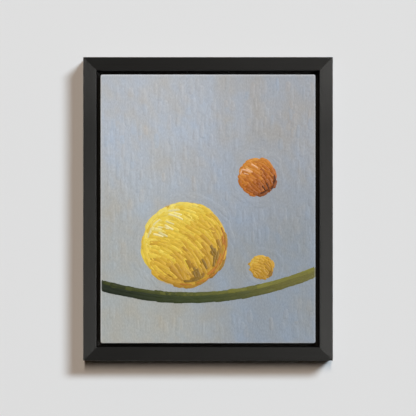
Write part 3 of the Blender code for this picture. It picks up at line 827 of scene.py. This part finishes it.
def shadedPaint(tree, drag, lowest, highest, darkest, lightest):
    # The paint layer's colour, darker in its furrows and lighter on its ridges
    layer = addNode(tree, "Attribute", {"attribute_name": "paint"}).outputs["Color"]
    shade = addNode(tree, "MapRange", {
        "Value": drag, "From Min": lowest, "From Max": highest, "To Min": darkest, "To Max": lightest})
    return addNode(tree, "VectorMath", {"operation": "SCALE", 0: layer, "Scale": shade})


def oilGround():
    # Oil paint brushed thinly on primed canvas with a flat hog brush: satin, with fine upright bristle
    # lines, and the weave just reading through. A bristle's line is 0.5 mm wide, and a rib between clumps
    # of them 0.8 mm.
    material, tree, shader = newMaterial("oilPaintBrushedThin")
    place = addNode(tree, "TexCoord", {}).outputs["Object"]
    weave = weaveHeight(tree, place)
    hair = drawnNoise(tree, place, (0.5 * mm, 4 * mm, 3.4 * mm), 2.0, 0.6)
    rib = drawnNoise(tree, place, (0.8 * mm, 6 * mm, 2.2 * mm), 1.0, 0.45)
    fibres = addNode(tree, "Math", {"operation": "MULTIPLY_ADD", 0: hair, 1: 0.35, 2: rib})
    drag = addNode(tree, "Math", {
        "operation": "MULTIPLY_ADD", 0: threadLines(tree, place), 1: 0.06, 2: fibres})
    height = addNode(tree, "Math", {"operation": "MULTIPLY_ADD", 0: weave, 1: 0.30, 2: drag})
    setNode(shader, {
        "Base Color": shadedPaint(tree, drag, 0.45, 1.0, 0.89, 1.11),
        "Roughness": addNode(tree, "MapRange", {
            "Value": drag, "From Min": 0.45, "From Max": 1.0, "To Min": 0.50, "To Max": 0.64}),
        "Normal": addNode(tree, "Bump", {"Height": height, "Strength": 0.35, "Distance": 0.08 * mm}),
        "IOR": 1.48, "Specular IOR Level": 0.35})
    return material


strokePaints = {
    "oilPaintLaidThick": {
        "rib": 0.25, "along": 11 * mm, "threads": 0.0,
        "shade": (0.80, 1.16), "bump": 0.6, "rough": (0.34, 0.55)},
    "oilPaintBrushedOut": {
        "rib": 0.5, "along": 4.4 * mm, "threads": 0.07,
        "shade": (0.86, 1.13), "bump": 0.4, "rough": (0.45, 0.62)},
}


def oilStrokes(name):
    # Oil paint left as the brush left it, with fine furrows along each stroke and wider ribs between the
    # clumps of bristle. Its map runs across the stroke in U and along it in V, in metres. Thick paint is
    # glossier and its furrows are deeper; paint brushed out thin is nearly even.
    s = strokePaints[name]
    material, tree, shader = newMaterial(name)
    flow = addNode(tree, "UVMap", {"uv_map": "flow"})
    furrow = drawnNoise(tree, flow, (0.55 * mm, s["along"], 1), 3.0, 0.65)
    rib = drawnNoise(tree, flow, (0.8 * mm, s["along"] * 0.45, 1), 1.0, 0.45)
    both = addNode(tree, "Mix", {"data_type": "FLOAT", 0: s["rib"], 2: furrow, 3: rib})
    threads = threadLines(tree, addNode(tree, "TexCoord", {}).outputs["Object"])
    drag = addNode(tree, "Mix", {"data_type": "FLOAT", 0: s["threads"], 2: both, 3: threads})
    setNode(shader, {
        "Base Color": shadedPaint(tree, drag, 0.25, 0.75, *s["shade"]),
        "Roughness": addNode(tree, "MapRange", {
            "Value": furrow, "To Min": s["rough"][0], "To Max": s["rough"][1]}),
        "Normal": addNode(tree, "Bump", {"Height": both, "Strength": s["bump"], "Distance": 0.12 * mm}),
        "IOR": 1.48, "Specular IOR Level": 0.45})
    return material


strokeForm = {
    # Where two numbers stand for width or height along a stroke, they are its start and what it loses
    "rows": 9, "across": [-1, -0.62, 0, 0.62, 1], "farX": 100.3, "farZ": 125.7,
    "tipWidth": 0.25, "widthAlong": (1.05, 0.3), "ragged": 0.22,
    "middleHeight": 0.72, "shoulder": 0.28, "heightAlong": (1.1, 0.55), "leastHeight": 0.75,
    "heightSpread": 0.5, "sunk": 0.05, "toneSpread": 0.16, "groundSpread": 0.6, "mapShift": (7.3, 3.1),
}


def strokeShape(strokes):
    # Every stroke at once. Along it v runs from 0 to 1 and across it u from -1 to 1: its middle line is a
    # parabola with the stroke's own curvature, its width swells and tapers, its surface stands highest
    # inside its edges and its rim dips into the film. Ground strokes take the ground's colour at each
    # point, times their own tone.
    s = strokeForm
    at = {key: np.asarray(value, float)[:, None, None] for key, value in strokes.items()
          if key not in ("colour", "seed", "overGround")}
    rows, cols, n = s["rows"], len(s["across"]), len(at["x"])
    v = np.linspace(0, 1, rows)[None, :, None]
    u = np.array(s["across"])[None, None, :]
    along = at["length"] * (v - 0.5)
    swell = s["tipWidth"] + (1 - s["tipWidth"]) * np.sqrt(np.clip(1 - (2 * v - 1) ** 4, 0, 1))
    width = at["width"] / 2 * swell * (s["widthAlong"][0] - s["widthAlong"][1] * v)
    rng = np.random.default_rng(strokes["seed"])
    ragged = 1 + (rng.random((n, rows, cols)) - 0.5) * s["ragged"] * np.abs(u)
    offset = 0.5 * at["bend"] * along ** 2 + u * width * ragged
    cos, sin = np.cos(at["heading"]), np.sin(at["heading"])
    x = np.clip(at["x"] + cos * along - sin * offset, -s["farX"], s["farX"])
    z = np.clip(at["z"] + sin * along + cos * offset, -s["farZ"], s["farZ"])
    inner = (np.abs(u) < 0.99) & (v > 0.01) & (v < 0.99)
    ridge = s["middleHeight"] + s["shoulder"] * (np.abs(u) > 0.5)
    uneven = s["leastHeight"] + s["heightSpread"] * rng.random((n, rows, cols))
    body = ridge * uneven * (s["heightAlong"][0] - s["heightAlong"][1] * v)
    stand = np.where(inner, at["base"] + at["height"] * body, -s["sunk"]) * mm
    points = np.stack([x * mm, frontY - filmRelief(x, z) - stand, z * mm + canvasZ], -1).reshape(-1, 3)
    starts = np.arange(n)[:, None] * rows * cols
    quads = (gridQuads(rows, cols)[None] + starts[..., None]).reshape(-1, 4)
    rims = borderLoop(cols - 1, rows - 1)[::-1][None] + starts
    vary = 1 + (rng.random((n, rows, cols, 1)) - 0.5) * s["toneSpread"]
    tone = np.asarray(strokes["colour"])[:, None, None, :]
    if "overGround" in strokes:
        tone = tone * groundColour(x.ravel(), z.ravel()).reshape(n, rows, cols, 3)
        vary = 1 + (vary - 1) * s["groundSpread"]
    colour = np.clip((tone * vary).reshape(-1, 3), 0, 1)
    # Each stroke's map is moved by its place, so that no two show the same furrows
    across, down = u * width + at["x"] * s["mapShift"][0], along + at["z"] * s["mapShift"][1]
    uv = np.stack([across, np.broadcast_to(down, across.shape)], -1).reshape(-1, 2) * mm
    return (points, quads.tolist() + rims.tolist()), uv, colour


def paletteAt(codes, t):
    # Linear light between the colours of a palette, at t from 0 to 1
    table = np.array([toLinear(code) for code in codes])
    places = np.linspace(0, 1, len(codes))
    return np.stack([np.interp(t, places, channel) for channel in table.T], -1)


def discFlow(radius, dx, dz):
    # The brush's direction and curvature inside a disc. Near the rim it follows the rim, and further in
    # it sweeps round a point outside the disc; the two directions are mixed by doubled angles.
    r = np.hypot(dx, dz)
    px, pz = dx + 1.05 * radius, dz + 1.25 * radius
    rim = smooth(0.62, 0.9, r / radius)
    toRim, toPoint = np.arctan2(dz, dx) + math.pi / 2, np.arctan2(pz, px) + math.pi / 2
    heading = 0.5 * np.arctan2(rim * np.sin(2 * toRim) + (1 - rim) * np.sin(2 * toPoint),
                               rim * np.cos(2 * toRim) + (1 - rim) * np.cos(2 * toPoint))
    bend = rim * (np.sin(heading) * dx - np.cos(heading) * dz) / np.maximum(r, 8) ** 2
    bend += (1 - rim) * (np.sin(heading) * px - np.cos(heading) * pz) / (px ** 2 + pz ** 2)
    return heading, bend, rim


def discStrokes(name, count, width, length, height, seed):
    # Strokes spread evenly over a disc by the golden angle. Their colour follows the light on a ball lit
    # from the upper left, with some drift from stroke to stroke.
    disc, rng = discs[name], np.random.default_rng(seed)
    radius = disc["radius"]
    i = rng.permutation(count)
    r = (radius - width / 2) * np.sqrt((i + 0.5) / count)
    a = i * math.pi * (3 - math.sqrt(5))
    dx, dz = r * np.cos(a), r * np.sin(a)
    heading, bend, rim = discFlow(radius, dx, dz)
    room = 1.5 * np.sqrt(np.maximum(radius ** 2 - r ** 2, 1)) + width
    light = (-0.55 * dx + 0.8 * dz) / radius
    t = np.clip(0.52 + 0.44 * light + rng.normal(0, 0.12, count), 0, 1)
    return dict(
        x=disc["at"][0] + dx, z=disc["at"][1] + dz, bend=bend,
        heading=heading + rng.normal(0, 0.10, count) * (1.3 - rim),
        length=np.clip(rng.uniform(*length, count), 0, room), width=rng.uniform(0.75, 1.2, count) * width,
        base=np.linspace(0.02, 0.14, count), height=rng.uniform(0.6, 1.2, count) * height,
        colour=paletteAt(disc["palette"], t), seed=seed)


def accentStrokes(name, count, span, reach, size, code, seed):
    # Single touches laid last over part of a disc: a span of angle at a reach of its radius
    disc, rng = discs[name], np.random.default_rng(seed)
    a, r = rng.uniform(*span, count), disc["radius"] * rng.uniform(*reach, count)
    dx, dz = r * np.cos(a), r * np.sin(a)
    heading, bend, rim = discFlow(disc["radius"], dx, dz)
    tone = 1 + rng.normal(0, 0.08, count)[:, None]
    return dict(
        x=disc["at"][0] + dx, z=disc["at"][1] + dz, bend=bend, heading=heading + rng.normal(0, 0.08, count),
        length=rng.uniform(0.6, 1.2, count) * size[0], width=rng.uniform(0.7, 1.2, count) * size[1],
        base=np.full(count, 0.26), height=rng.uniform(0.14, 0.24, count),
        colour=toLinear(code) * tone, seed=seed)


def bandStrokes(count, seed):
    # Strokes laid end over end along the bowed band in three loose rows, the top row lighter
    rng = np.random.default_rng(seed)
    x = np.linspace(-99, 99, count) + rng.uniform(-4, 4, count)
    row = np.arange(count) % 3 - 1
    heading = np.arctan(2 * band["bow"] * (x - band["lowX"])) + rng.normal(0, 0.035, count)
    rim = mixed(toLinear(band["rimLeft"]), toLinear(band["rimRight"]), smooth(*band["rimSpan"], x)[:, None])
    top = (row == 1)[:, None] * rng.uniform(0.15, 0.75, count)[:, None]
    return dict(
        x=x, z=bandHeight(x) + row * band["rowGap"], bend=np.full(count, 2 * band["bow"]), heading=heading,
        length=rng.uniform(17, 30, count), width=rng.uniform(3.8, 5.4, count),
        base=np.linspace(0.02, 0.12, count), height=rng.uniform(0.10, 0.22, count),
        colour=mixed(bandColour(x), rim, top), seed=seed)


def groundStrokes(count, seed):
    # Thin upright strokes over the whole ground, kept off the shapes, each a shade from the ground under it
    rng = np.random.default_rng(seed)
    x, z = rng.uniform(-98, 98, 3 * count), rng.uniform(-118, 118, 3 * count)
    clear = pastBand(x, z) > 16
    for disc in discs.values():
        clear &= pastRim(disc, x, z) > 15
    x, z = x[clear][:count], z[clear][:count]
    n = len(x)
    lighter, warmer = rng.normal(0, 0.006, n)[:, None], rng.normal(0, 0.016, n)[:, None]
    return dict(
        x=x, z=z, heading=math.pi / 2 + rng.normal(0, 0.055, n), bend=rng.normal(0, 0.004, n),
        length=rng.uniform(8, 17, n), width=rng.uniform(3.5, 7.5, n), base=0.05 + 0.03 * (np.arange(n) % 4),
        height=rng.uniform(0.02, 0.06, n), colour=1 + lighter + warmer * np.array([1, 0, -1]), seed=seed,
        overGround=True)


def cutInStrokes(name, count, seed):
    # Ground paint brought up round a disc's edge in strokes that follow it
    disc, rng = discs[name], np.random.default_rng(seed)
    a = np.linspace(0, 2 * math.pi, count, endpoint=False) + rng.uniform(-0.05, 0.05, count)
    r = disc["radius"] + 2.6 + np.abs(rng.normal(0, 2.6, count))
    x, z = disc["at"][0] + r * np.cos(a), disc["at"][1] + r * np.sin(a)
    clear = (pastBand(x, z) > 3) & (z > bandHeight(x))
    x, z, a, r = x[clear], z[clear], a[clear], r[clear]
    n = len(x)
    tone = 1 + rng.normal(0, 0.014, n)[:, None] * np.ones(3)
    return dict(
        x=x, z=z, heading=a + math.pi / 2 + rng.normal(0, 0.13, n), bend=1 / r, length=rng.uniform(9, 17, n),
        width=rng.uniform(3.4, 6.2, n), base=0.04 + 0.02 * (np.arange(n) % 3),
        height=rng.uniform(0.02, 0.06, n), colour=tone, seed=seed, overGround=True)


def buildPaint():
    # The film, then each set of strokes as one piece. Only the ground's strokes are brushed out thin.
    shape = filmShape(paint)
    colour = underColour(shape[0][:, 0] / mm, (shape[0][:, 2] - canvasZ) / mm)
    pieces = [newPiece("paintFilm", shape, [oilGround()], "painted_canvas", [], colour=colour)]
    thick, brushedOut = oilStrokes("oilPaintLaidThick"), oilStrokes("oilPaintBrushedOut")
    sets = {
        "Ground": [
            groundStrokes(340, 101), cutInStrokes("gold", 72, 102), cutInStrokes("rust", 36, 103),
            cutInStrokes("ochre", 26, 104)],
        "Gold": [
            discStrokes("gold", 260, 5.2, (11, 22), 0.26, 111),
            accentStrokes("gold", 15, (-1.5, -0.05), (0.62, 0.84), (14, 3.4), "93722f", 123),
            accentStrokes("gold", 15, (-1.6, 0.45), (0.84, 0.95), (13, 2.4), "bd7a30", 121),
            accentStrokes("gold", 14, (1.7, 2.9), (0.50, 0.88), (12, 3.0), "f0e09a", 122)],
        "Rust": [
            discStrokes("rust", 84, 4.0, (7, 14), 0.24, 112),
            accentStrokes("rust", 7, (1.6, 2.9), (0.45, 0.85), (8, 1.9), "e8b184", 124),
            accentStrokes("rust", 6, (-1.3, 0.1), (0.6, 0.9), (9, 1.9), "5c3119", 125)],
        "Ochre": [discStrokes("ochre", 44, 3.6, (6, 11), 0.22, 113)],
        "Green": [bandStrokes(105, 114)],
    }
    for name, groups in sets.items():
        shapes, uvs, colours = zip(*[strokeShape(group) for group in groups])
        oil = brushedOut if name == "Ground" else thick
        pieces.append(newPiece(
            "paintStrokes" + name, joined(shapes), [oil], "painted_canvas", [], sharp=75,
            uv=np.concatenate(uvs), colour=np.concatenate(colours)))
    print("paint built:", len(pieces), "pieces")
    return pieces


# Small metal pieces and bumpers

def cloudedFinish(name, tones, rough, scale, detail, bump, settings):
    # A finish that drifts softly between two tones and between two roughnesses, with a faint relief
    material, tree, shader = newMaterial(name)
    place = addNode(tree, "TexCoord", {}).outputs["Object"]
    cloud = addNode(tree, "TexNoise", {"Vector": place, "Scale": scale, "Detail": detail})
    setNode(shader, {
        "Base Color": addNode(tree, "Mix", {
            "data_type": "RGBA", 0: cloud, 6: rgba(tones[0]), 7: rgba(tones[1])}),
        "Roughness": addNode(tree, "MapRange", {"Value": cloud, "To Min": rough[0], "To Max": rough[1]}),
        "Normal": addNode(tree, "Bump", {"Height": cloud, "Strength": bump[0], "Distance": bump[1]}),
        **settings})
    return material


def zincPlate(name, code, rough, scale):
    # Bright zinc on steel, drawn or pressed: pale grey metal with a soft, slightly clouded shine
    tones, span = (toLinear(code) * 0.72, code), (rough - 0.1, rough + 0.15)
    return cloudedFinish(name, tones, span, scale, 4.0, (0.2, 0.02 * mm), {"Metallic": 1.0})


def softRubber():
    # Moulded polyurethane: translucent grey, rounded, with a soft satin skin
    tones, span = ("a7a8a4", "bfc0bb"), (0.28, 0.42)
    settings = {"Subsurface Weight": 0.4, "Subsurface Scale": 2 * mm, "IOR": 1.5}
    return cloudedFinish("mouldedPolyurethane", tones, span, 700.0, 3.0, (0.1, 0.03 * mm), settings)


def screwShape(s, seatY):
    # Pan head over a shank whose radius follows a sharp ridge that climbs one pitch a turn, ending in a
    # point
    wide, top, soft = s["headRadius"], seatY + s["head"], s["head"] * 0.8
    a = np.linspace(math.pi / 2, 0, 7)
    dome = np.maximum(wide - soft * (1 - np.cos(a)), 0.62 * wide)
    headR = np.concatenate([np.array([0.3, 0.6]) * wide, dome, [wide, s["shank"]]])
    headY = np.concatenate([[top] * 3, top - soft * (1 - np.sin(a)), [seatY, seatY]])
    length = seatY - boxOf("screw_left_upper")[0][1]
    down = np.linspace(0, length, s["rings"])[1:-1]
    turn = np.arange(s["steps"]) / s["steps"]
    ridge = 1 - 2 * np.abs((down[:, None] / s["pitch"] + turn) % 1 - 0.5)
    thread = s["shank"] - s["core"]
    tip = smooth(0, s["point"], length - down)[:, None]
    start = smooth(*s["threadStart"], down)[:, None]
    core = s["core"] + thread * (1 - start)
    shank = (core + thread * np.clip(ridge, 0, 1) ** 2 * start) * (0.12 + 0.88 * tip)
    radius = np.concatenate([np.repeat(headR[:, None], s["steps"], 1), shank])
    return spun(radius, np.concatenate([headY, seatY - down, [seatY - length]]), s["steps"])


def crossCutter(s, topY):
    # A plus sign that narrows as it goes down, for the driver's recess
    long, short = s["crossReach"], s["crossWidth"] / 2
    arm = np.array([(long, -short), (long, short), (short, short)])
    turns = [np.array([[math.cos(a), -math.sin(a)], [math.sin(a), math.cos(a)]])
             for a in np.arange(4) * math.pi / 2]
    plus = np.concatenate([arm @ turn.T for turn in turns])
    points, faces = prism(plus, 1, topY - s["crossDepth"], topY + 0.5 * mm)
    points[:len(plus), [0, 2]] *= s["crossTaper"]
    return points, faces


def buildScrews():
    # Four screws, each with the driver's recess cut out of its head
    steel = zincPlate("zincPlatedScrewSteel", "b9babd", 0.3, 900.0)
    top = boxOf("screw_left_upper")[1][1]
    shape, recess = screwShape(screws, top - screws["head"]), crossCutter(screws, top)
    for name in screws["names"]:
        node = "screw_" + name
        label = camel("fixing_" + node)
        screw = newPiece(label, atNode(shape, node), [steel], "fixing_steel", [node], sharp=35)
        carve(screw, atNode(recess, node), 35)
    print("screws built")


hanger = {
    "sheet": 0.9 * mm, "raisedHalf": 14.5 * mm, "ramp": 2.2 * mm, "rise": 1.2 * mm, "pitch": 3.2 * mm,
    "tooth": 2.0 * mm, "tip": 0.5 * mm, "notches": 9, "soft": 0.12 * mm,
}


def plateShape(s, low, high):
    # The sheet's middle line rises by a smooth step near each end; half a sheet's thickness to either
    # side of it gives the section, which is carried up in Z
    raised, foot = s["raisedHalf"], s["raisedHalf"] + s["ramp"]
    x = np.concatenate([
        np.linspace(low[0], -foot, 6)[:-1], np.linspace(-foot, -raised, 9),
        np.linspace(-raised, raised, 15)[1:-1], np.linspace(raised, foot, 9),
        np.linspace(foot, high[0], 6)[1:]])
    y = low[1] + s["sheet"] / 2 + s["rise"] * (1 - smooth(raised, foot, np.abs(x)))
    slope = np.gradient(y, x)
    normal = np.stack([-slope, np.ones_like(x)], -1) / np.sqrt(1 + slope ** 2)[:, None] * s["sheet"] / 2
    line = np.stack([x, y], -1)
    return prism(np.concatenate([line - normal, (line + normal)[::-1]]), 2, low[2], high[2])


def plateCuts(s, low, high):
    # A row of pointed notches up from the plate's lower edge, and its two nail holes
    half, under = (s["pitch"] - s["tip"]) / 2, low[2] - overrun
    start, end = low[1] - overrun, high[1] + overrun
    shapes = []
    for k in range(s["notches"]):
        x = (k - (s["notches"] - 1) / 2) * s["pitch"]
        wedge = [(x - half, under), (x + half, under), (x + half, low[2]), (x, low[2] + s["tooth"]),
                 (x - half, low[2])]
        shapes.append(prism(wedge, 1, start, end))
    hole = pin(nails["radius"] + nails["plateClear"], start, end, 32)
    shapes += [atNode(hole, "hanger_nail_" + name) for name in nails["names"]]
    return joined(shapes)


def nailShape(s, low, high):
    # A low domed head over a shank that narrows to its point
    radius, wide, top, tip = s["radius"], s["headRadius"], high[1], low[1]
    seat = top - s["head"]
    dome = [(0.35, 0), (0.7, 0.06 * mm), (0.92, 0.2 * mm), (1, 0.38 * mm), (0.97, s["head"])]
    shank = [(radius, seat), (radius, seat - 2 * mm), (radius, tip + 2.2 * mm),
             (radius * 0.5, tip + 0.7 * mm)]
    head = [(wide * share, top - down) for share, down in dome]
    return turned([(0, top)] + head + shank + [(0, tip)], s["steps"])


def buildHanger():
    # The plate, notched, drilled and softened at its edges, and its two nails
    steel = zincPlate("zincPlatedPressedSteel", "c2c3c6", 0.32, 420.0)
    box = boxOf("hanger_plate")
    plate = newPiece(
        "hangerPlate", plateShape(hanger, *box), [steel], "hanger_steel", ["hanger_plate"], sharp=30)
    carve(plate, plateCuts(hanger, *box), 30)
    soften = plate.modifiers.new("pressedEdges", "BEVEL")
    soften.width = hanger["soft"]
    soften.segments = 2
    soften.limit_method = "ANGLE"
    soften.angle_limit = math.radians(40)
    evenNormals(plate)
    wire = zincPlate("zincPlatedNailSteel", "aeb0b4", 0.34, 900.0)
    for name in nails["names"]:
        node = "hanger_nail_" + name
        nail = atNode(nailShape(nails, *boxOf(node)), node)
        newPiece(camel(node), nail, [wire], "fixing_steel", [node], sharp=35)
    print("hanger built")


bumpers = {"flat": 2.6 * mm, "arcPoints": 14, "foot": 0.12, "roll": 0.06, "steps": 48}


def bumperShape(s, low, high):
    # A quarter of an ellipse from the flat top to the rim, turned, with a small rolled foot
    wide, tall, flat = (high[0] - low[0]) / 2, high[1] - low[1], s["flat"]
    a = np.linspace(0, math.pi / 2, s["arcPoints"])
    rise = s["foot"] + (1 - s["foot"]) * np.cos(a)
    dome = np.column_stack([flat + (wide - flat) * np.sin(a), low[1] + tall * rise]).tolist()
    foot = [(wide, low[1] + s["roll"] * tall), (wide * 0.98, low[1]), (wide * 0.5, low[1]), (0, low[1])]
    return turned([(0, high[1]), (flat * 0.5, high[1])] + dome + foot, s["steps"])


def buildBumpers():
    # One soft bumper at each lower corner of the back
    rubber = softRubber()
    for node in ("bumper_left", "bumper_right"):
        shape = atNode(bumperShape(bumpers, *boxOf(node)), node)
        newPiece(camel(node), shape, [rubber], "bumper_rubber", [node], sharp=50)
    print("bumpers built")


staples = {
    "wire": 0.6 * mm, "width": 1.2 * mm, "bend": 0.55 * mm, "bow": 0.12 * mm, "chisel": 1.0 * mm,
    "around": 12, "squareness": 0.45,
}


def stapleShape(s, node):
    # Flat wire with rounded edges, carried along a U: leg, bend, slightly bowed crown, bend, leg. Each
    # leg thins to a chisel point. The crown runs along the box's longer side, and the wire's section is a
    # superellipse.
    low, high = boxOf(node)
    level = high[0] - low[0] > high[2] - low[2]
    half = (high[0] - low[0] if level else high[2] - low[2]) / 2 - s["wire"] / 2
    top, tip, r = high[1] - s["wire"] / 2, low[1], s["bend"]
    a = np.linspace(0, math.pi / 2, 6)
    legs = np.linspace(tip, top - r, 7)[:-1]
    bendAlong, bendY = half - r + r * np.cos(a), top - r + r * np.sin(a)
    crown = np.linspace(half - r, -half + r, 11)[1:-1]
    straight = np.full(len(legs), half)
    lineAlong = np.concatenate([straight, bendAlong, crown, -bendAlong[::-1], -straight])
    bowed = top - s["bow"] * (1 - (crown / half) ** 2) * 0.5
    lineY = np.concatenate([legs, bendY, bowed, bendY[::-1], legs[::-1]])
    step = np.gradient(np.stack([lineAlong, lineY], -1), axis=0)
    step /= np.linalg.norm(step, axis=1)[:, None]
    side = np.stack([-step[:, 1], step[:, 0]], -1)
    thin = np.minimum(1, 0.12 + 0.88 * np.abs(lineY - tip) / s["chisel"])[:, None]
    turn = (np.arange(s["around"]) + 0.5) * 2 * math.pi / s["around"]
    thick = np.sign(np.cos(turn)) * np.abs(np.cos(turn)) ** s["squareness"] * s["wire"] / 2
    wide = np.sign(np.sin(turn)) * np.abs(np.sin(turn)) ** s["squareness"] * s["width"] / 2
    along = lineAlong[:, None] + side[:, :1] * thick * thin
    y = lineY[:, None] + side[:, 1:] * thick * thin
    across = np.broadcast_to(wide, along.shape)
    x, z = (along, across) if level else (across, along)
    return atNode(closedTube(np.stack([x, y, z], -1)), node)


def buildStaples():
    # One staple for each of its nodes
    wire = zincPlate("galvanisedStapleWire", "c4c6c9", 0.28, 1200.0)
    nodes = nodesNamed("staple")
    for node in nodes:
        newPiece(camel(node), stapleShape(staples, node), [wire], "staple_steel", [node], sharp=35)
    print("staples built:", len(nodes))


def finishVNails():
    # The V-nails' solids are right as they are and only take their finish
    steel = zincPlate("rolledSpringSteel", "8f9194", 0.4, 800.0)
    for name in nodesNamed("vnail"):
        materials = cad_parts[name].data.materials
        materials.clear()
        materials.append(steel)
    print("V-nails finished")


# Room, lights and camera

room = {
    "wall": "e6e6e5", "wallHalf": 6, "wallTop": 3, "floor": "dcd6cc", "floorHalf": 12, "floorZ": -1.4,
    "fill": (0.050, 0.023, 0.005), "backdrop": (0.72, 0.72, 0.715),
}
lights = {
    # place is in metres from the frame's middle, size across and up, power in watts. The two far ones light
    # matt surfaces alone, the two panes only show as gloss, and the two behind light the back.
    "windowRight": {
        "place": (14.72, -28.0, 14.30), "size": (11.6, 7.34), "power": 10650.0,
        "colour": (0.883, 1.016, 1.135), "only": "matt"},
    "dimFront": {
        "place": (0, -28.0, 7.54), "size": (1.18, 9.52), "power": 3020.0,
        "colour": (1.15, 0.97, 0.82), "only": "matt"},
    "tallPane": {
        "place": (1.32, -3.0, 0.30), "size": (0.5, 3.6), "power": 60.0,
        "colour": (1.0, 0.99, 0.96), "only": "gloss"},
    "sidePane": {
        "place": (-2.6, -2.2, -0.5), "size": (0.8, 2.2), "power": 14.0,
        "colour": (1.0, 1.0, 1.0), "only": "gloss"},
    "behindLeft": {
        "place": (-2.3, 1.7, 0.8), "size": (1.4, 1.2), "power": 90.0,
        "colour": (1.0, 1.0, 1.0), "only": ""},
    "behindRight": {
        "place": (1.9, 2.2, 0.3), "size": (1.2, 0.9), "power": 42.0,
        "colour": (1.0, 0.99, 0.97), "only": ""},
}
camera = {"distance": 2.5, "viewWidth": 0.3927, "above": 0.8 * mm, "sensor": 36.0, "clip": (0.1, 50)}


def stageSheet(name, corners, material):
    # One flat sheet of the room, which isn't part of the object
    mesh = bpy.data.meshes.new(name)
    mesh.from_pydata(corners, [], [(0, 1, 2, 3)])
    mesh.materials.append(material)
    sheet = newObject(name, mesh)
    return sheet


def wallPaint():
    # Matt emulsion on plaster. Its back is clear, so that the frame can be seen from behind.
    material, tree, shader = newMaterial("mattEmulsionWall")
    setNode(shader, {"Base Color": rgba(room["wall"]), "Roughness": 0.9, "Specular IOR Level": 0.1})
    back = addNode(tree, "NewGeometry", {}).outputs["Backfacing"]
    mix = addNode(tree, "MixShader", {0: back, 1: shader, 2: addNode(tree, "BsdfTransparent", {})})
    setNode(tree.nodes["Material Output"], {"Surface": mix})
    return material


def floorPaint():
    # Pale painted boards. They show their colour to the camera alone, so that they cast no light up on
    # the wall.
    material, tree, shader = newMaterial("palePaintedFloor")
    seen = addNode(tree, "LightPath", {}).outputs["Is Camera Ray"]
    setNode(shader, {
        "Base Color": (0, 0, 0, 1), "Specular IOR Level": 0.0, "Emission Color": rgba(room["floor"]),
        "Emission Strength": seen})
    return material


def buildRoom():
    # A wall, a floor, and a world that is plain to the camera and otherwise a dim warm fill
    wide, far, top, z = room["wallHalf"], room["floorHalf"], room["wallTop"], room["floorZ"]
    wall = stageSheet("wall", [(-wide, 0, z), (wide, 0, z), (wide, 0, top), (-wide, 0, top)], wallPaint())
    wall.visible_shadow = False
    stageSheet("floor", [(-far, -far, z), (far, -far, z), (far, far, z), (-far, far, z)], floorPaint())
    world = bpy.data.worlds.new("room")
    bpy.context.scene.world = world
    world.use_nodes = True
    tree = world.node_tree
    seen = addNode(tree, "LightPath", {}).outputs["Is Camera Ray"]
    tone = addNode(tree, "Mix", {
        "data_type": "RGBA", 0: seen, 6: rgba(room["fill"]), 7: rgba(room["backdrop"])})
    setNode(tree.nodes["Background"], {"Color": tone})
    print("room built")


def buildLights():
    # Ellipses that face straight along Y, towards the wall or away from it
    for name, s in lights.items():
        data = bpy.data.lights.new(name, "AREA")
        data.shape = "ELLIPSE"
        data.size, data.size_y = s["size"]
        data.energy = s["power"]
        data.color = s["colour"]
        light = newObject(name, data)
        light.location = Vector(s["place"]) + Vector(middle)
        light.rotation_euler = (math.copysign(math.pi / 2, -s["place"][1]), 0, 0)
        light.visible_camera = False
        light.visible_glossy = s["only"] != "matt"
        light.visible_diffuse = s["only"] != "gloss"
    print("lights placed:", len(lights))


def buildCamera():
    # Straight in front, with lens = sensor x distance / view's width
    data = bpy.data.cameras.new("camera")
    data.sensor_width = camera["sensor"]
    data.lens = data.sensor_width * camera["distance"] / camera["viewWidth"]
    data.clip_start, data.clip_end = camera["clip"]
    made = newObject("camera", data)
    made.location = (0, faceY - camera["distance"], middle[2] + camera["above"])
    made.rotation_euler = (math.pi / 2, 0, 0)
    bpy.context.scene.camera = made
    bpy.context.scene.view_settings.view_transform = "Standard"
    print("camera placed")


buildCamera()
buildRails()
stretchers = buildBars()
clothPiece = buildCloth()
paintPieces = buildPaint()
buildScrews()
buildHanger()
buildBumpers()
buildStaples()
finishVNails()
buildRoom()
buildLights()
